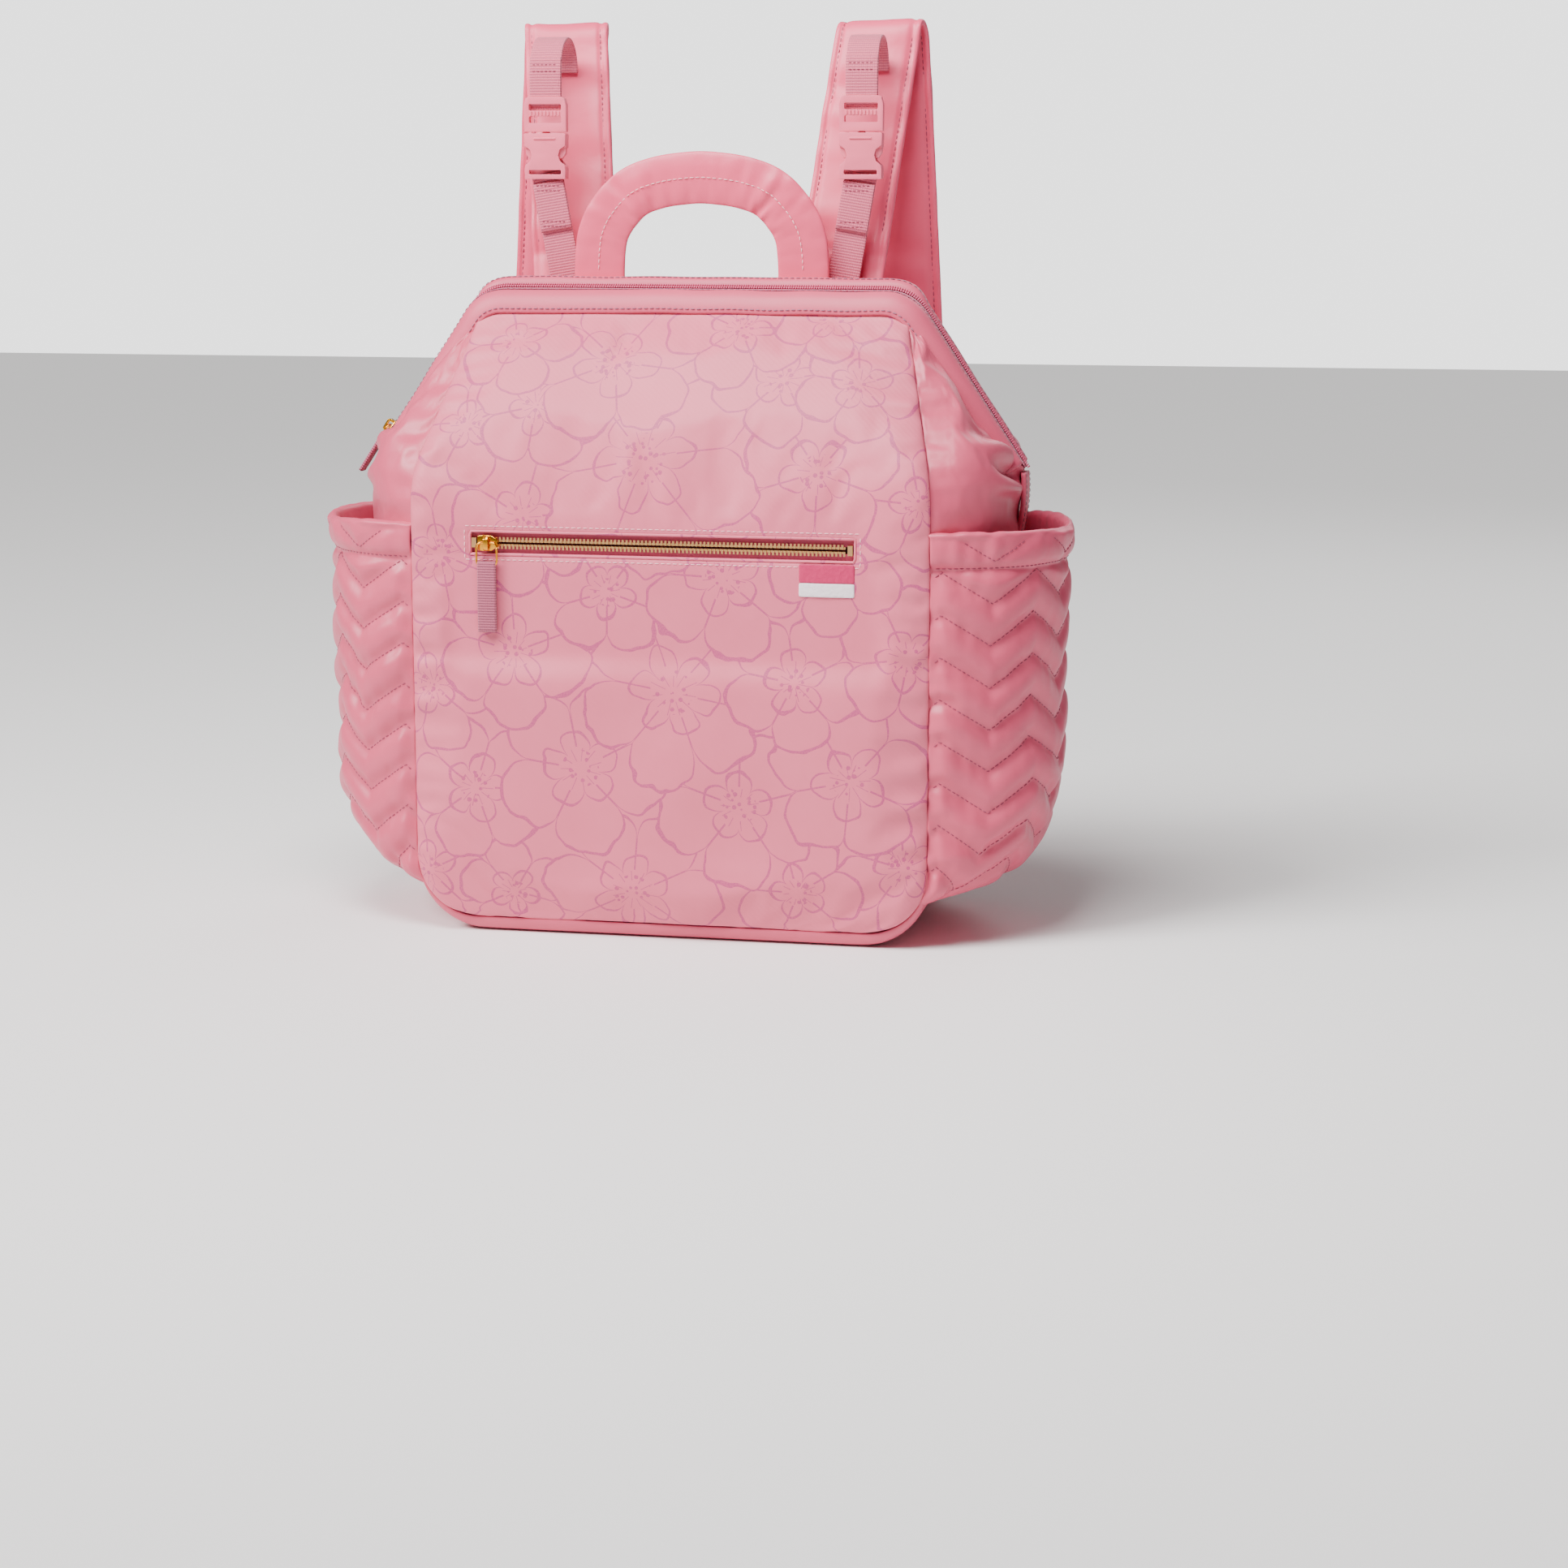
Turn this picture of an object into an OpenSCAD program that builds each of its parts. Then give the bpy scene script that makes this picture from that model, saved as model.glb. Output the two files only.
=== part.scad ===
// Frame-top diaper backpack with a zipped wide mouth, a zipped front pocket, two quilted
// side pockets, a carry handle, two padded shoulder straps and two buckled bar loops.
// Millimetres. +Z is up, the front panel faces -Y, the base rests on z = 0.

/* [Body] */
// Width of the front panel between its side seams
panel_w = 322; // [300:1:340]
// Distance from the centre plane to the front panel's face
front_y = 88; // [80:1:96]
// Distance from the centre plane to the back panel's face
back_y = 80; // [72:1:88]
// Radius of the rounded lower corners of the front and back panels
corner_r = 42; // [30:1:48]
// Height at which the panels fold in towards the frame
crease_z = 283; // [270:1:300]
// Half the body's width at the middle of its side gussets
gusset_x = 205; // [195:1:215]
// Thickness of the padded cloth walls
wall = 3; // [2:0.5:4]

/* [Frame] */
// Height of the frame's top bar
frame_z = 393; // [380:1:405]
// Half the width of the frame at its sharp upper corners
frame_top_x = 137; // [125:1:145]
// Half the width of the frame at the foot of its arms
frame_foot_x = 210; // [206:1:216]
// Radius of the frame's upper corners, on the outer edge of the bands
frame_r = 32; // [24:1:40]
// Diameter of the spring wire in the frame sleeves
wire_d = 4; // [3:0.5:5]
// Depth of one frame band from the zip to its outer seam
band_t = 14; // [12:1:16]

/* [Front pocket] */
// Height of the pocket zip
pocket_z = 243; // [235:1:250]
// Left end of the zip opening
pocket_x0 = -122; // [-130:1:-110]
// Right end of the zip opening
pocket_x1 = 116; // [105:1:130]
// Depth of the pouch behind the zip
pouch_h = 150; // [100:5:170]

/* [Side pockets] */
// Half the bag's width over the side pockets
pocket_x = 236; // [230:1:240]
// Height of the pocket rim
rim_z = 254; // [240:1:260]
// Height of the gathered hem
hem_h = 22; // [18:1:26]

/* [Straps] */
// Diameter of the pushchair bar that the loops go round
bar_d = 38; // [38:1:38]
// Distance from the centre plane to the bar's axis
bar_y = 40; // [38:1:44]
// Height of the bar's axis
bar_z = 527; // [520:1:535]
// Distance from the middle of the bag to each bar loop
loop_x = 100; // [92:1:108]
// Width of the webbing
web_w = 20; // [18:1:22]
// Width of the padded shoulder straps
strap_w = 54; // [48:1:58]
// Height of the carry handle above the frame
handle_h = 82; // [70:1:90]

/* [Hidden] */
$fn = 64;
// Lift that keeps the upper body clear of the lower one
eps = 0.01;
// Clearance between parts that move past each other
gap = 0.4;
half_w = panel_w / 2;
SATIN = [0.84, 0.56, 0.61];
PRINT = [0.88, 0.64, 0.68];
STRAP = [0.91, 0.60, 0.67];
COATED = [0.85, 0.62, 0.66];
TAPE = [0.80, 0.44, 0.53];
WEBBING = [0.85, 0.58, 0.63];
RESIN = [0.93, 0.65, 0.70];
GOLD = [0.88, 0.68, 0.25];
STEEL = [0.62, 0.63, 0.65];

// The frame: straight arms from the feet to the sharp upper corners, then a level top bar
arm_dx = frame_foot_x - frame_top_x;
arm_dz = frame_z - crease_z;
arm_len = sqrt(arm_dx * arm_dx + arm_dz * arm_dz);
arm_tilt = atan2(arm_dx, arm_dz);
turn = 90 - arm_tilt;
// Height below which the bands and wires stop, so that the front frame can swing
foot_z = crease_z + 15;

// Radius of a side wall that bulges from the seams to x_out half way back
seam_mid_y = (back_y - front_y) / 2;
seam_half = (back_y + front_y) / 2;
function bulge_r(x_out) =
    (seam_half * seam_half + (x_out - half_w) * (x_out - half_w)) / (2 * (x_out - half_w));

// Draws a child for the left side, or its mirror image for the right side
module side(left) {
    mirror([left ? 1 : 0, 0, 0]) children();
}

// Extrudes an outline drawn in X and Z from y0 back to y1
module deep(y0, y1) {
    translate([0, y1, 0]) rotate([90, 0, 0]) linear_extrude(y1 - y0) children();
}

// Outline of the front and back panels, with rounded lower corners
module panel_outline(inset, z0, z1) {
    w = half_w - inset;
    r = corner_r - inset;
    intersection() {
        translate([-w, z0]) square([2 * w, z1 - z0]);
        union() {
            translate([-w, corner_r]) square([2 * w, z1]);
            translate([-w + r, inset]) square([2 * (w - r), corner_r]);
            translate([-w + r, corner_r]) circle(r);
            translate([w - r, corner_r]) circle(r);
        }
    }
}

// Solid inside the bulging side walls, cut off at the panel seams
module bulge_solid(x_out, inset, z0, z1) {
    r = bulge_r(x_out);
    intersection() {
        translate([x_out - r, seam_mid_y, z0]) cylinder(h = z1 - z0, r = r - inset, $fn = 96);
        translate([half_w - 2, -front_y - 5, z0]) cube([200, front_y + back_y + 10, z1 - z0]);
    }
}

// Side outline that curves in at its foot with radius r
module foot_outline(x_out, r, z0, z1) {
    translate([0, z0 + r]) square([x_out, z1 - z0 - r]);
    translate([x_out - r, z0 + r]) circle(r);
    translate([0, z0]) square([x_out - r, r + 1]);
}

// Closed volume of the tent above the crease; inset moves its skin inwards
module tent(inset) {
    r = bulge_r(gusset_x);
    top_w = frame_top_x - inset;
    hull() {
        translate([0, 0, crease_z + eps]) linear_extrude(0.5) {
            intersection() {
                translate([gusset_x - r, seam_mid_y]) circle(r - inset, $fn = 48);
                translate([0, -front_y + inset]) square([300, front_y + back_y - 2 * inset]);
            }
            mirror([1, 0]) intersection() {
                translate([gusset_x - r, seam_mid_y]) circle(r - inset, $fn = 48);
                translate([0, -front_y + inset]) square([300, front_y + back_y - 2 * inset]);
            }
        }
        translate([-top_w, -band_t - 4 + inset, frame_z - 8])
            cube([2 * top_w, 2 * (band_t + 4 - inset), 2]);
    }
}

// Half the width of the slot along the top of the tent, which the frame bands fill
tent_slot = band_t + 3;

// The tent's skin between two insets, in front of the zip or behind it
module tent_skin(front) {
    difference() {
        tent(0);
        tent(wall);
        translate([-300, front ? -tent_slot : tent_slot - 400, crease_z - 1]) cube([600, 400, 200]);
    }
}

// Room for the rear frame band, which the cloth behind it stops short of
module rear_band_room() {
    hoop(-13.3, 3, 2.7, band_t + 6.3, foot_z - 0.5);
}

// Region between the slanted side seams of the upper front or back panel
module between_seams(inset) {
    deep(-front_y - 10, back_y + 10)
        polygon([
            [-half_w + inset, crease_z - 1], [half_w - inset, crease_z - 1],
            [frame_top_x - 5 - inset, frame_z], [-frame_top_x + 5 + inset, frame_z]
        ]);
}

// Lower front panel with the welt slot of the zip pocket cut through it
module front_panel() {
    color(PRINT) difference() {
        deep(-front_y, -front_y + wall) panel_outline(0, 12, crease_z);
        translate([pocket_x0, -front_y - 1, pocket_z - 7]) cube([pocket_x1 - pocket_x0, wall + 2, 14]);
    }
}

// Upper front panel, from the crease up to the front frame band
module front_panel_upper() {
    color(PRINT) intersection() {
        tent_skin(true);
        between_seams(0);
    }
}

// Back panel's outer cloth
module back_panel() {
    color(SATIN) deep(back_y - wall, back_y) panel_outline(0, wall + 1, crease_z);
}

// Upper back panel, from the crease up to the rear frame band
module back_panel_upper() {
    color(SATIN) difference() {
        intersection() {
            tent_skin(false);
            between_seams(0);
        }
        rear_band_room();
    }
}

// Foam sheet inside the back panel
module back_foam() {
    color("white") deep(back_y - wall - 5, back_y - wall - 0.2) panel_outline(12, 16, crease_z - 6);
}

// Base and its turned-up edge, one strip that follows the panels' rounded lower corners
module base_panel() {
    color(SATIN) difference() {
        deep(-front_y + 0.3, back_y - wall - 0.3) difference() {
            panel_outline(0, 0, corner_r);
            panel_outline(wall, wall, corner_r + 1);
        }
        deep(-front_y - 1, -front_y + wall + 0.3) translate([-half_w - 5, 11.7]) square([panel_w + 10, 60]);
    }
}

// Stiffener board that lies on the base
module base_board() {
    color("dimgray") translate([-half_w + corner_r, -front_y + 12, wall + 0.2])
        cube([panel_w - 2 * corner_r, front_y + back_y - 30, 2]);
}

// Lower side gusset, bulging between the front and back seams
module gusset(left) {
    color(SATIN) side(left) intersection() {
        difference() {
            bulge_solid(gusset_x, 0, corner_r + 0.5, crease_z - 1);
            bulge_solid(gusset_x, wall, corner_r - 1, crease_z + 1);
        }
        deep(-front_y + wall, back_y - wall) foot_outline(gusset_x, 44, corner_r, crease_z);
    }
}
module gusset_left() { gusset(true); }
module gusset_right() { gusset(false); }

// Quarter of the upper gusset, between a slanted panel seam and a frame band
module upper_gusset(left, front) {
    color(SATIN) side(left) difference() {
        tent_skin(front);
        between_seams(-0.4);
        rear_band_room();
        translate([-300, -200, crease_z - 1]) cube([300, 400, 200]);
    }
}
module upper_gusset_front_left() { upper_gusset(true, true); }
module upper_gusset_front_right() { upper_gusset(false, true); }
module upper_gusset_rear_left() { upper_gusset(true, false); }
module upper_gusset_rear_right() { upper_gusset(false, false); }

// Volume of a side pocket, gathered in at its foot
module pocket_volume(inset, z1) {
    intersection() {
        bulge_solid(pocket_x, inset, corner_r, z1);
        deep(-front_y, back_y) foot_outline(pocket_x - inset, 70, corner_r + 1 + inset, z1);
    }
}

// Quilted side pocket, open at the top; the hem's sleeve for the elastic is left hollow
module side_pocket(left) {
    color(SATIN) side(left) difference() {
        pocket_volume(0, rim_z);
        pocket_volume(wall + 1, rim_z + 1);
        bulge_solid(gusset_x, -0.4, 0, rim_z + 1);
        pocket_hem(0, rim_z - hem_h + 4, rim_z - 4);
    }
}

// Band inside the pocket wall that holds the elastic, grown by play on each face
module pocket_hem(shrink, z0, z1) {
    difference() {
        bulge_solid(pocket_x, 1.1 + shrink, z0 + shrink, z1 - shrink);
        bulge_solid(pocket_x, wall - shrink, z0 - 1, z1 + 1);
        translate([0, -300, 0]) cube([half_w + 12, 600, 400]);
    }
}
module side_pocket_left() { side_pocket(true); }
module side_pocket_right() { side_pocket(false); }

// Elastic band inside the hem
module pocket_elastic(left) {
    color("white") side(left) pocket_hem(0.2, rim_z - hem_h + 4, rim_z - 4);
}
module pocket_elastic_left() { pocket_elastic(true); }
module pocket_elastic_right() { pocket_elastic(false); }

// Outline of the frame's hoop; out moves it outwards, and foot is the height of its open ends
module hoop_outline(out, foot) {
    r = frame_r + out;
    cut = frame_r * tan(turn / 2);
    cx = frame_top_x - cut;
    cz = frame_z - frame_r;
    nx = cos(arm_tilt);
    nz = sin(arm_tilt);
    // Foot of the offset arm line at the asked height
    px = frame_foot_x + out * nx;
    pz = crease_z + out * nz;
    fx = px + (pz - foot) * tan(arm_tilt);
    right = [for (i = [0:12]) let (a = arm_tilt + i * turn / 12) [cx + r * cos(a), cz + r * sin(a)]];
    polygon(concat(
        [[fx, foot]], right,
        [for (i = [12:-1:0]) [-right[i][0], right[i][1]]], [[-fx, foot]]
    ));
}

// Hoop-shaped strip between two offsets of the frame line
module hoop(out0, out1, y0, y1, foot) {
    deep(y0, y1) difference() {
        hoop_outline(out1, foot);
        hoop_outline(out0, foot - 1);
    }
}

// Frame wire: round bar bent to the hoop, at depth y
module hoop_wire(y, out, d, foot) {
    r = frame_r + out;
    cut = frame_r * tan(turn / 2);
    cx = frame_top_x - cut;
    cz = frame_z - frame_r;
    // Start of the straight arm below the bend, and its length down to the foot
    sx = cx + r * cos(arm_tilt);
    sz = cz + r * sin(arm_tilt);
    len = (sz - foot) / cos(arm_tilt);
    translate([-cx, y, cz + r]) rotate([0, 90, 0]) cylinder(h = 2 * cx, d = d, $fn = 24);
    for (m = [0, 1]) mirror([m, 0, 0]) {
        translate([cx, y, cz]) rotate([90, 0, 0]) rotate([0, 0, arm_tilt])
            rotate_extrude(angle = turn, $fn = 96) translate([r, 0]) circle(d = d, $fn = 24);
        translate([sx, y, sz]) rotate([0, 180 - arm_tilt, 0]) cylinder(h = len, d = d, $fn = 24);
    }
}

// Frame band: a sleeve round the wire, closed on the side of the zip
module frame_band(front) {
    y0 = front ? -band_t - 2 : 3;
    y1 = front ? -3 : band_t + 6;
    color(COATED) difference() {
        hoop(-13, 0, y0, y1, foot_z);
        hoop(-11, -2, y0 + 2, y1 - 2, foot_z - 1);
    }
}
module front_frame_band() { frame_band(true); }
module rear_frame_band() { frame_band(false); }

// Spring wires of the two frame hoops
module front_frame_wire() { color(STEEL) hoop_wire(-9.5, -6.5, wire_d, foot_z + 6); }
module rear_frame_wire() { color(STEEL) hoop_wire(11.5, -6.5, wire_d, foot_z + 6); }

// Soft tips on the two ends of a wire
module wire_tips(y) {
    s = (foot_z + 1 - crease_z) / cos(arm_tilt);
    for (m = [0, 1]) mirror([m, 0, 0])
        translate([frame_foot_x, y, crease_z]) rotate([0, -arm_tilt, 0]) translate([-6.5, 0, s])
            difference() {
                cylinder(h = 12, d = wire_d + 2.4, $fn = 32);
                translate([0, 0, 3]) cylinder(h = 20, d = wire_d + 0.04, $fn = 32);
            }
}
module front_wire_tips() { color("white") wire_tips(-9.5); }
module rear_wire_tips() { color("white") wire_tips(11.5); }

// Half of the main zip: a row of coil and its tape, in front of the split or behind it
module main_zip_half(front) {
    m = front ? 0 : 1;
    color(TAPE) mirror([0, m, 0]) {
        hoop(-1.6, -0.4, -3 + 0.05, -1.2, crease_z + 4);
        hoop(-2.6, 0.4, -2.6, -0.7, crease_z + 4);
    }
}
module main_zip_front() { main_zip_half(true); }
module main_zip_rear() { main_zip_half(false); }

// Places a child on the left arm: its origin on the frame line, +Z up the arm, +X outwards
module on_left_arm(s) {
    mirror([1, 0, 0]) translate([frame_foot_x, 0, crease_z]) rotate([0, -arm_tilt, 0])
        translate([0, 0, s]) children();
}

// Slider of the main zip: outer and inner plates, a web in the split, and a bridge
// whose opening holds the ring of the pull
slider_s = 18;
ring_out = 4.8;
module main_slider() {
    color(GOLD) on_left_arm(slider_s) {
        translate([0.8, -5, 0]) cube([2, 10, 13]);
        translate([-5.4, -2.4, 3]) cube([1.6, 4.8, 8]);
        translate([-4, -0.4, 4]) cube([5, 0.8, 5]);
        difference() {
            translate([2.7, -1.6, 1.5]) cube([5.3, 3.2, 10]);
            translate([2.8, -2, 3.3]) cube([3.8, 4, 6.4]);
        }
    }
}

// Flat wire ring whose top bar is on the origin and which hangs down by h
module pull_ring(w, h, t) {
    difference() {
        translate([-t / 2, -w / 2, -h]) cube([t, w, h + t / 2]);
        translate([-t, -w / 2 + t, -h + t]) cube([2 * t, w - 2 * t, h - 1.5 * t]);
    }
}

// Pull of the main zip: a ring through the slider's bridge and a ribbed ribbon folded on it
module main_pull() {
    color(GOLD) on_left_arm(slider_s) translate([ring_out, 0, 6.5]) pull_ring(8, 11, 1.3);
    color(WEBBING) on_left_arm(slider_s) translate([ring_out - 1, -5, -27]) cube([2, 10, 26]);
}

// Folded tab that finishes each end of the main zip, hanging inside the side pocket's mouth
module zip_end_tab(left) {
    color(COATED) side(left) difference() {
        translate([gusset_x + 1.2, -9, crease_z - 36]) cube([3.6, 18, 34]);
        translate([gusset_x + 2.4, -10, crease_z - 34]) cube([1.2, 20, 60]);
    }
}
module zip_end_tab_left() { zip_end_tab(true); }
module zip_end_tab_right() { zip_end_tab(false); }

// Tapes of the pocket zip, one above the other behind the welt slot
module pocket_zip_tape() {
    color(TAPE) for (m = [0, 1]) translate([0, 0, pocket_z]) mirror([0, 0, m])
        translate([pocket_x0 - 6, -front_y + wall + 0.2, 2.2]) cube([pocket_x1 - pocket_x0 + 12, 1, 11]);
}

// Two rows of metal teeth on the tapes' inner edges, with a split for the slider's web
module pocket_zip_teeth() {
    pitch = 2.4;
    run = pocket_x1 - pocket_x0 - 12;
    color(GOLD) for (m = [0, 1]) translate([0, 0, pocket_z]) mirror([0, 0, m]) {
        translate([pocket_x0 + 6, -front_y + 1.4, 0.7]) cube([run, 1.8, 1.3]);
        for (i = [0:floor(run / pitch) - 1])
            translate([pocket_x0 + 6.4 + (i + m / 2) * pitch, -front_y + 0.4, 0.7]) cube([1.2, 1.2, 2.8]);
    }
}

// End stops of the pocket zip
module pocket_zip_stops() {
    color(GOLD) for (x = [pocket_x0 + 1, pocket_x1 - 4.6])
        translate([x, -front_y + 0.4, pocket_z - 3]) cube([3, 2.8, 6]);
}

// Pouch that hangs behind the pocket zip: two cloth leaves joined at the foot and sides
module pocket_pouch() {
    y0 = -front_y + wall + 1.6;
    x0 = pocket_x0 - 8;
    w = pocket_x1 - pocket_x0 + 16;
    z0 = pocket_z - pouch_h;
    color(SATIN) difference() {
        translate([x0, y0, z0]) cube([w, 9, pouch_h + 16]);
        translate([x0 + 1, y0 + 1, z0 + 1]) cube([w - 2, 7, pouch_h + 14]);
        translate([x0 + 6, y0 - 1, pocket_z - 8]) cube([w - 12, 3, 16]);
    }
}

// Slider of the pocket zip: two plates, a web between the teeth, and a bridge for the ring
ring_x = pocket_x0 + 11.6;
ring_y = -front_y - 3.8;
module pocket_slider() {
    color(GOLD) translate([pocket_x0 + 6, -front_y, pocket_z]) {
        translate([0, -2.2, -4.6]) cube([11, 1.8, 9.2]);
        translate([0, -1, -0.4]) cube([6, 6.6, 0.8]);
        translate([0, 4.8, -4.2]) cube([10, 1.4, 8.4]);
        difference() {
            translate([4, -6.8, -4.2]) cube([3.2, 4.7, 8.4]);
            translate([3, -5.4, -2.6]) cube([5, 3.2, 5.2]);
        }
    }
}

// Ring through the pocket slider's bridge
module pocket_pull_ring() {
    color(GOLD) translate([ring_x, ring_y, pocket_z]) rotate([0, 0, 90]) pull_ring(14, 14, 1.4);
}

// Ribbed ribbon folded through the ring
module pocket_pull_tab() {
    color(WEBBING) translate([ring_x, ring_y, pocket_z]) difference() {
        translate([-5.4, -1.7, -54]) cube([10.8, 3.4, 43]);
        translate([-6, -0.9, -14.6]) cube([12, 1.8, 2.6]);
    }
}

// Small woven label with no lettering, sewn under the right end of the pocket zip
module side_label() {
    color([0.80, 0.12, 0.35]) translate([pocket_x1 - 34, -front_y - 1, pocket_z - 28]) cube([34, 1, 20]);
}

// Carry handle: two flat legs and a padded grip arch on the rear band
handle_y = band_t;
handle_foot = 49;
handle_w = 32;
handle_z0 = frame_z + 3;
// Cross-section of the handle's arch drawn in X and Z
module handle_outline(inset) {
    difference() {
        translate([0, handle_z0]) intersection() {
            arch(handle_foot + handle_w - inset, handle_h - inset);
            translate([-200, inset]) square([400, 200]);
        }
        translate([0, handle_z0]) arch(handle_foot - 6 + inset, handle_h - handle_w + inset);
    }
}
// Arch with straight legs and a domed top, half width w and height h
module arch(w, h) {
    rise = 28;
    r = (w * w + rise * rise) / (2 * rise);
    intersection() {
        translate([-w, -1]) square([2 * w, h + 1]);
        translate([0, h - r]) circle(r, $fn = 160);
    }
}
module carry_handle() {
    color(STRAP) difference() {
        deep(handle_y - 3, handle_y + 3) handle_outline(0);
        deep(handle_y - 1.6, handle_y + 1.6) handle_outline(2);
    }
}

// Foam inside the handle
module handle_foam() {
    color("white") deep(handle_y - 1.4, handle_y + 1.4) handle_outline(2.3);
}

// Strap: the run from the rear band up behind the bar, the fold, and the run down the back
strap_t = 8;
strap_root = [84, band_t + 13, frame_z - 3.5];
run_a_top = [loop_x, 72, bar_z + bar_d / 2 + 2];
run_b_top = [loop_x + 4, 85, run_a_top[2] + 4];
run_b_foot = [130, back_y + 4.6, 78];
// Flat bar between two points of the strap's centre line, seen from the side
module strap_run(p, q, w, t) {
    d = q - p;
    len = norm(d);
    tilt_y = atan2(d[1], d[2]);
    lean_x = asin(d[0] / len);
    translate(p) rotate([-tilt_y, 0, 0]) rotate([0, lean_x, 0])
        translate([-w / 2, -t / 2, 0]) cube([w, t, len]);
}
module shoulder_strap(left) {
    color(STRAP) side(left) {
        strap_run(strap_root, run_a_top, strap_w, strap_t);
        strap_run(run_a_top, run_b_top, strap_w, strap_t);
        strap_run(run_b_foot, run_b_top, strap_w, strap_t);
    }
}
module shoulder_strap_left() { shoulder_strap(true); }
module shoulder_strap_right() { shoulder_strap(false); }

// Adjusting webbing from the strap's end down to the lower back corner of the bag
tail_z = 26;
tail_t = 1.4;
module strap_webbing(left) {
    color(WEBBING) side(left) {
        translate([run_b_foot[0] - web_w / 2, back_y, tail_z]) cube([web_w, 5.3, tail_t]);
        translate([run_b_foot[0] - web_w / 2, run_b_foot[1] - tail_t / 2, tail_z])
            cube([web_w, tail_t, run_b_foot[2] - tail_z - 0.8]);
    }
}
module strap_webbing_left() { strap_webbing(true); }
module strap_webbing_right() { strap_webbing(false); }

// Ladder-lock adjuster on the webbing: a frame with two windows and a way for the webbing
module strap_adjuster(left) {
    color(RESIN) side(left) translate([run_b_foot[0], run_b_foot[1], 58]) difference() {
        translate([-14, -2.6, -9]) cube([28, 5.2, 18]);
        translate([-web_w / 2 - gap, -1.1, -10]) cube([web_w + 2 * gap, 2.2, 20]);
        translate([-11, 0, 1.6]) cube([22, 3.4, 3.4]);
        translate([-11, 0, -5]) cube([22, 3.4, 3.4]);
    }
}
module strap_adjuster_left() { strap_adjuster(true); }
module strap_adjuster_right() { strap_adjuster(false); }

// Buckled loop: webbing up from the rear band, buckle, and webbing over the bar
web_t = 1.6;
loop_y = bar_y - bar_d / 2 - web_t / 2;
socket_z = 462;
socket_h = 26;
plug_z = socket_z + socket_h;
plug_h = 22;
buckle_y = loop_y - 1;
web_foot = [86, band_t + 7.4, frame_z - 6];
web_top = [loop_x, buckle_y, socket_z + 5];
// Point of the lower webbing's centre line at height z
function web_at(z) = web_foot + (z - web_foot[2]) / (web_top[2] - web_foot[2]) * (web_top - web_foot);
module loop_webbing_lower(left) {
    folded = [0, -web_t, 0];
    color(WEBBING) side(left) {
        strap_run(web_foot, web_top, web_w, web_t);
        strap_run(web_at(426) + folded, web_at(458) + folded, web_w, web_t);
    }
}
module loop_webbing_lower_left() { loop_webbing_lower(true); }
module loop_webbing_lower_right() { loop_webbing_lower(false); }

// Socket: a shell open at the top, with a window on each side for the prongs
module buckle_socket(left) {
    color(RESIN) side(left) translate([loop_x, buckle_y, socket_z]) difference() {
        union() {
            translate([-13.5, -4.5, 5]) cube([27, 9, socket_h - 5]);
            translate([-13, -3.6, -2]) cube([26, 7.2, 8]);
        }
        translate([-11.5, -2.7, 7]) cube([23, 5.4, socket_h]);
        translate([-15, -2.7, 9]) cube([30, 5.4, 10]);
        translate([-web_w / 2 - 1.5, -1.9, -3]) cube([web_w + 3, 3.8, 10.5]);
        translate([-web_w / 2 - 0.5, -5, 1]) cube([web_w + 1, 4, 2.2]);
    }
}
module buckle_socket_left() { buckle_socket(true); }
module buckle_socket_right() { buckle_socket(false); }

// Plug: a slotted head with a ladder bar for the upper webbing, and a guide tongue
module buckle_plug(left) {
    color(RESIN) side(left) translate([loop_x, buckle_y, plug_z]) {
        difference() {
            translate([-13.5, -4, 0.4]) cube([27, 8, plug_h]);
            translate([-web_w / 2 - 0.5, -5, 6]) cube([web_w + 1, 10, 4.4]);
            translate([-web_w / 2 - 0.5, -5, 13.6]) cube([web_w + 1, 10, 4.4]);
            translate([-web_w / 2 - 0.5, -0.6, 11]) cube([web_w + 1, 3.2, plug_h]);
        }
        translate([-2.6, -2.2, -18]) cube([5.2, 4.4, 18.5]);
    }
}
module buckle_plug_left() { buckle_plug(true); }
module buckle_plug_right() { buckle_plug(false); }

// Sprung prong of the plug: a slim arm that ends in a catch in the socket's window
module prong(left, outer) {
    color(RESIN) side(left) translate([loop_x, buckle_y, plug_z]) mirror([outer ? 0 : 1, 0, 0]) {
        translate([7.4, -2.2, -12]) cube([2.6, 4.4, 11.8]);
        translate([7.4, -2.2, -16]) cube([5.8, 4.4, 8]);
    }
}
module prong_left_outer() { prong(true, true); }
module prong_left_inner() { prong(true, false); }
module prong_right_outer() { prong(false, true); }
module prong_right_inner() { prong(false, false); }

// Webbing from the plug's ladder bar over the top of the bar, sewn to the strap behind it
module loop_outline() {
    r = bar_d / 2;
    front_h = bar_z - plug_z - 12;
    sewn_h = 3;
    difference() {
        union() {
            circle(r + web_t, $fn = 96);
            translate([-r - web_t, -front_h]) square([2 * (r + web_t), front_h]);
            translate([r, -sewn_h]) square([web_t + 0.5, sewn_h]);
        }
        circle(r, $fn = 96);
        translate([-r, -front_h - 1]) square([2 * r, front_h + 1]);
        translate([r - 1, -front_h - 1]) square([web_t + 2, front_h + 1 - sewn_h]);
    }
}
module loop_webbing_upper(left) {
    color(WEBBING) side(left) translate([loop_x - web_w / 2, bar_y, bar_z])
        rotate([90, 0, 90]) linear_extrude(web_w) loop_outline();
}
module loop_webbing_upper_left() { loop_webbing_upper(true); }
module loop_webbing_upper_right() { loop_webbing_upper(false); }

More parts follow.
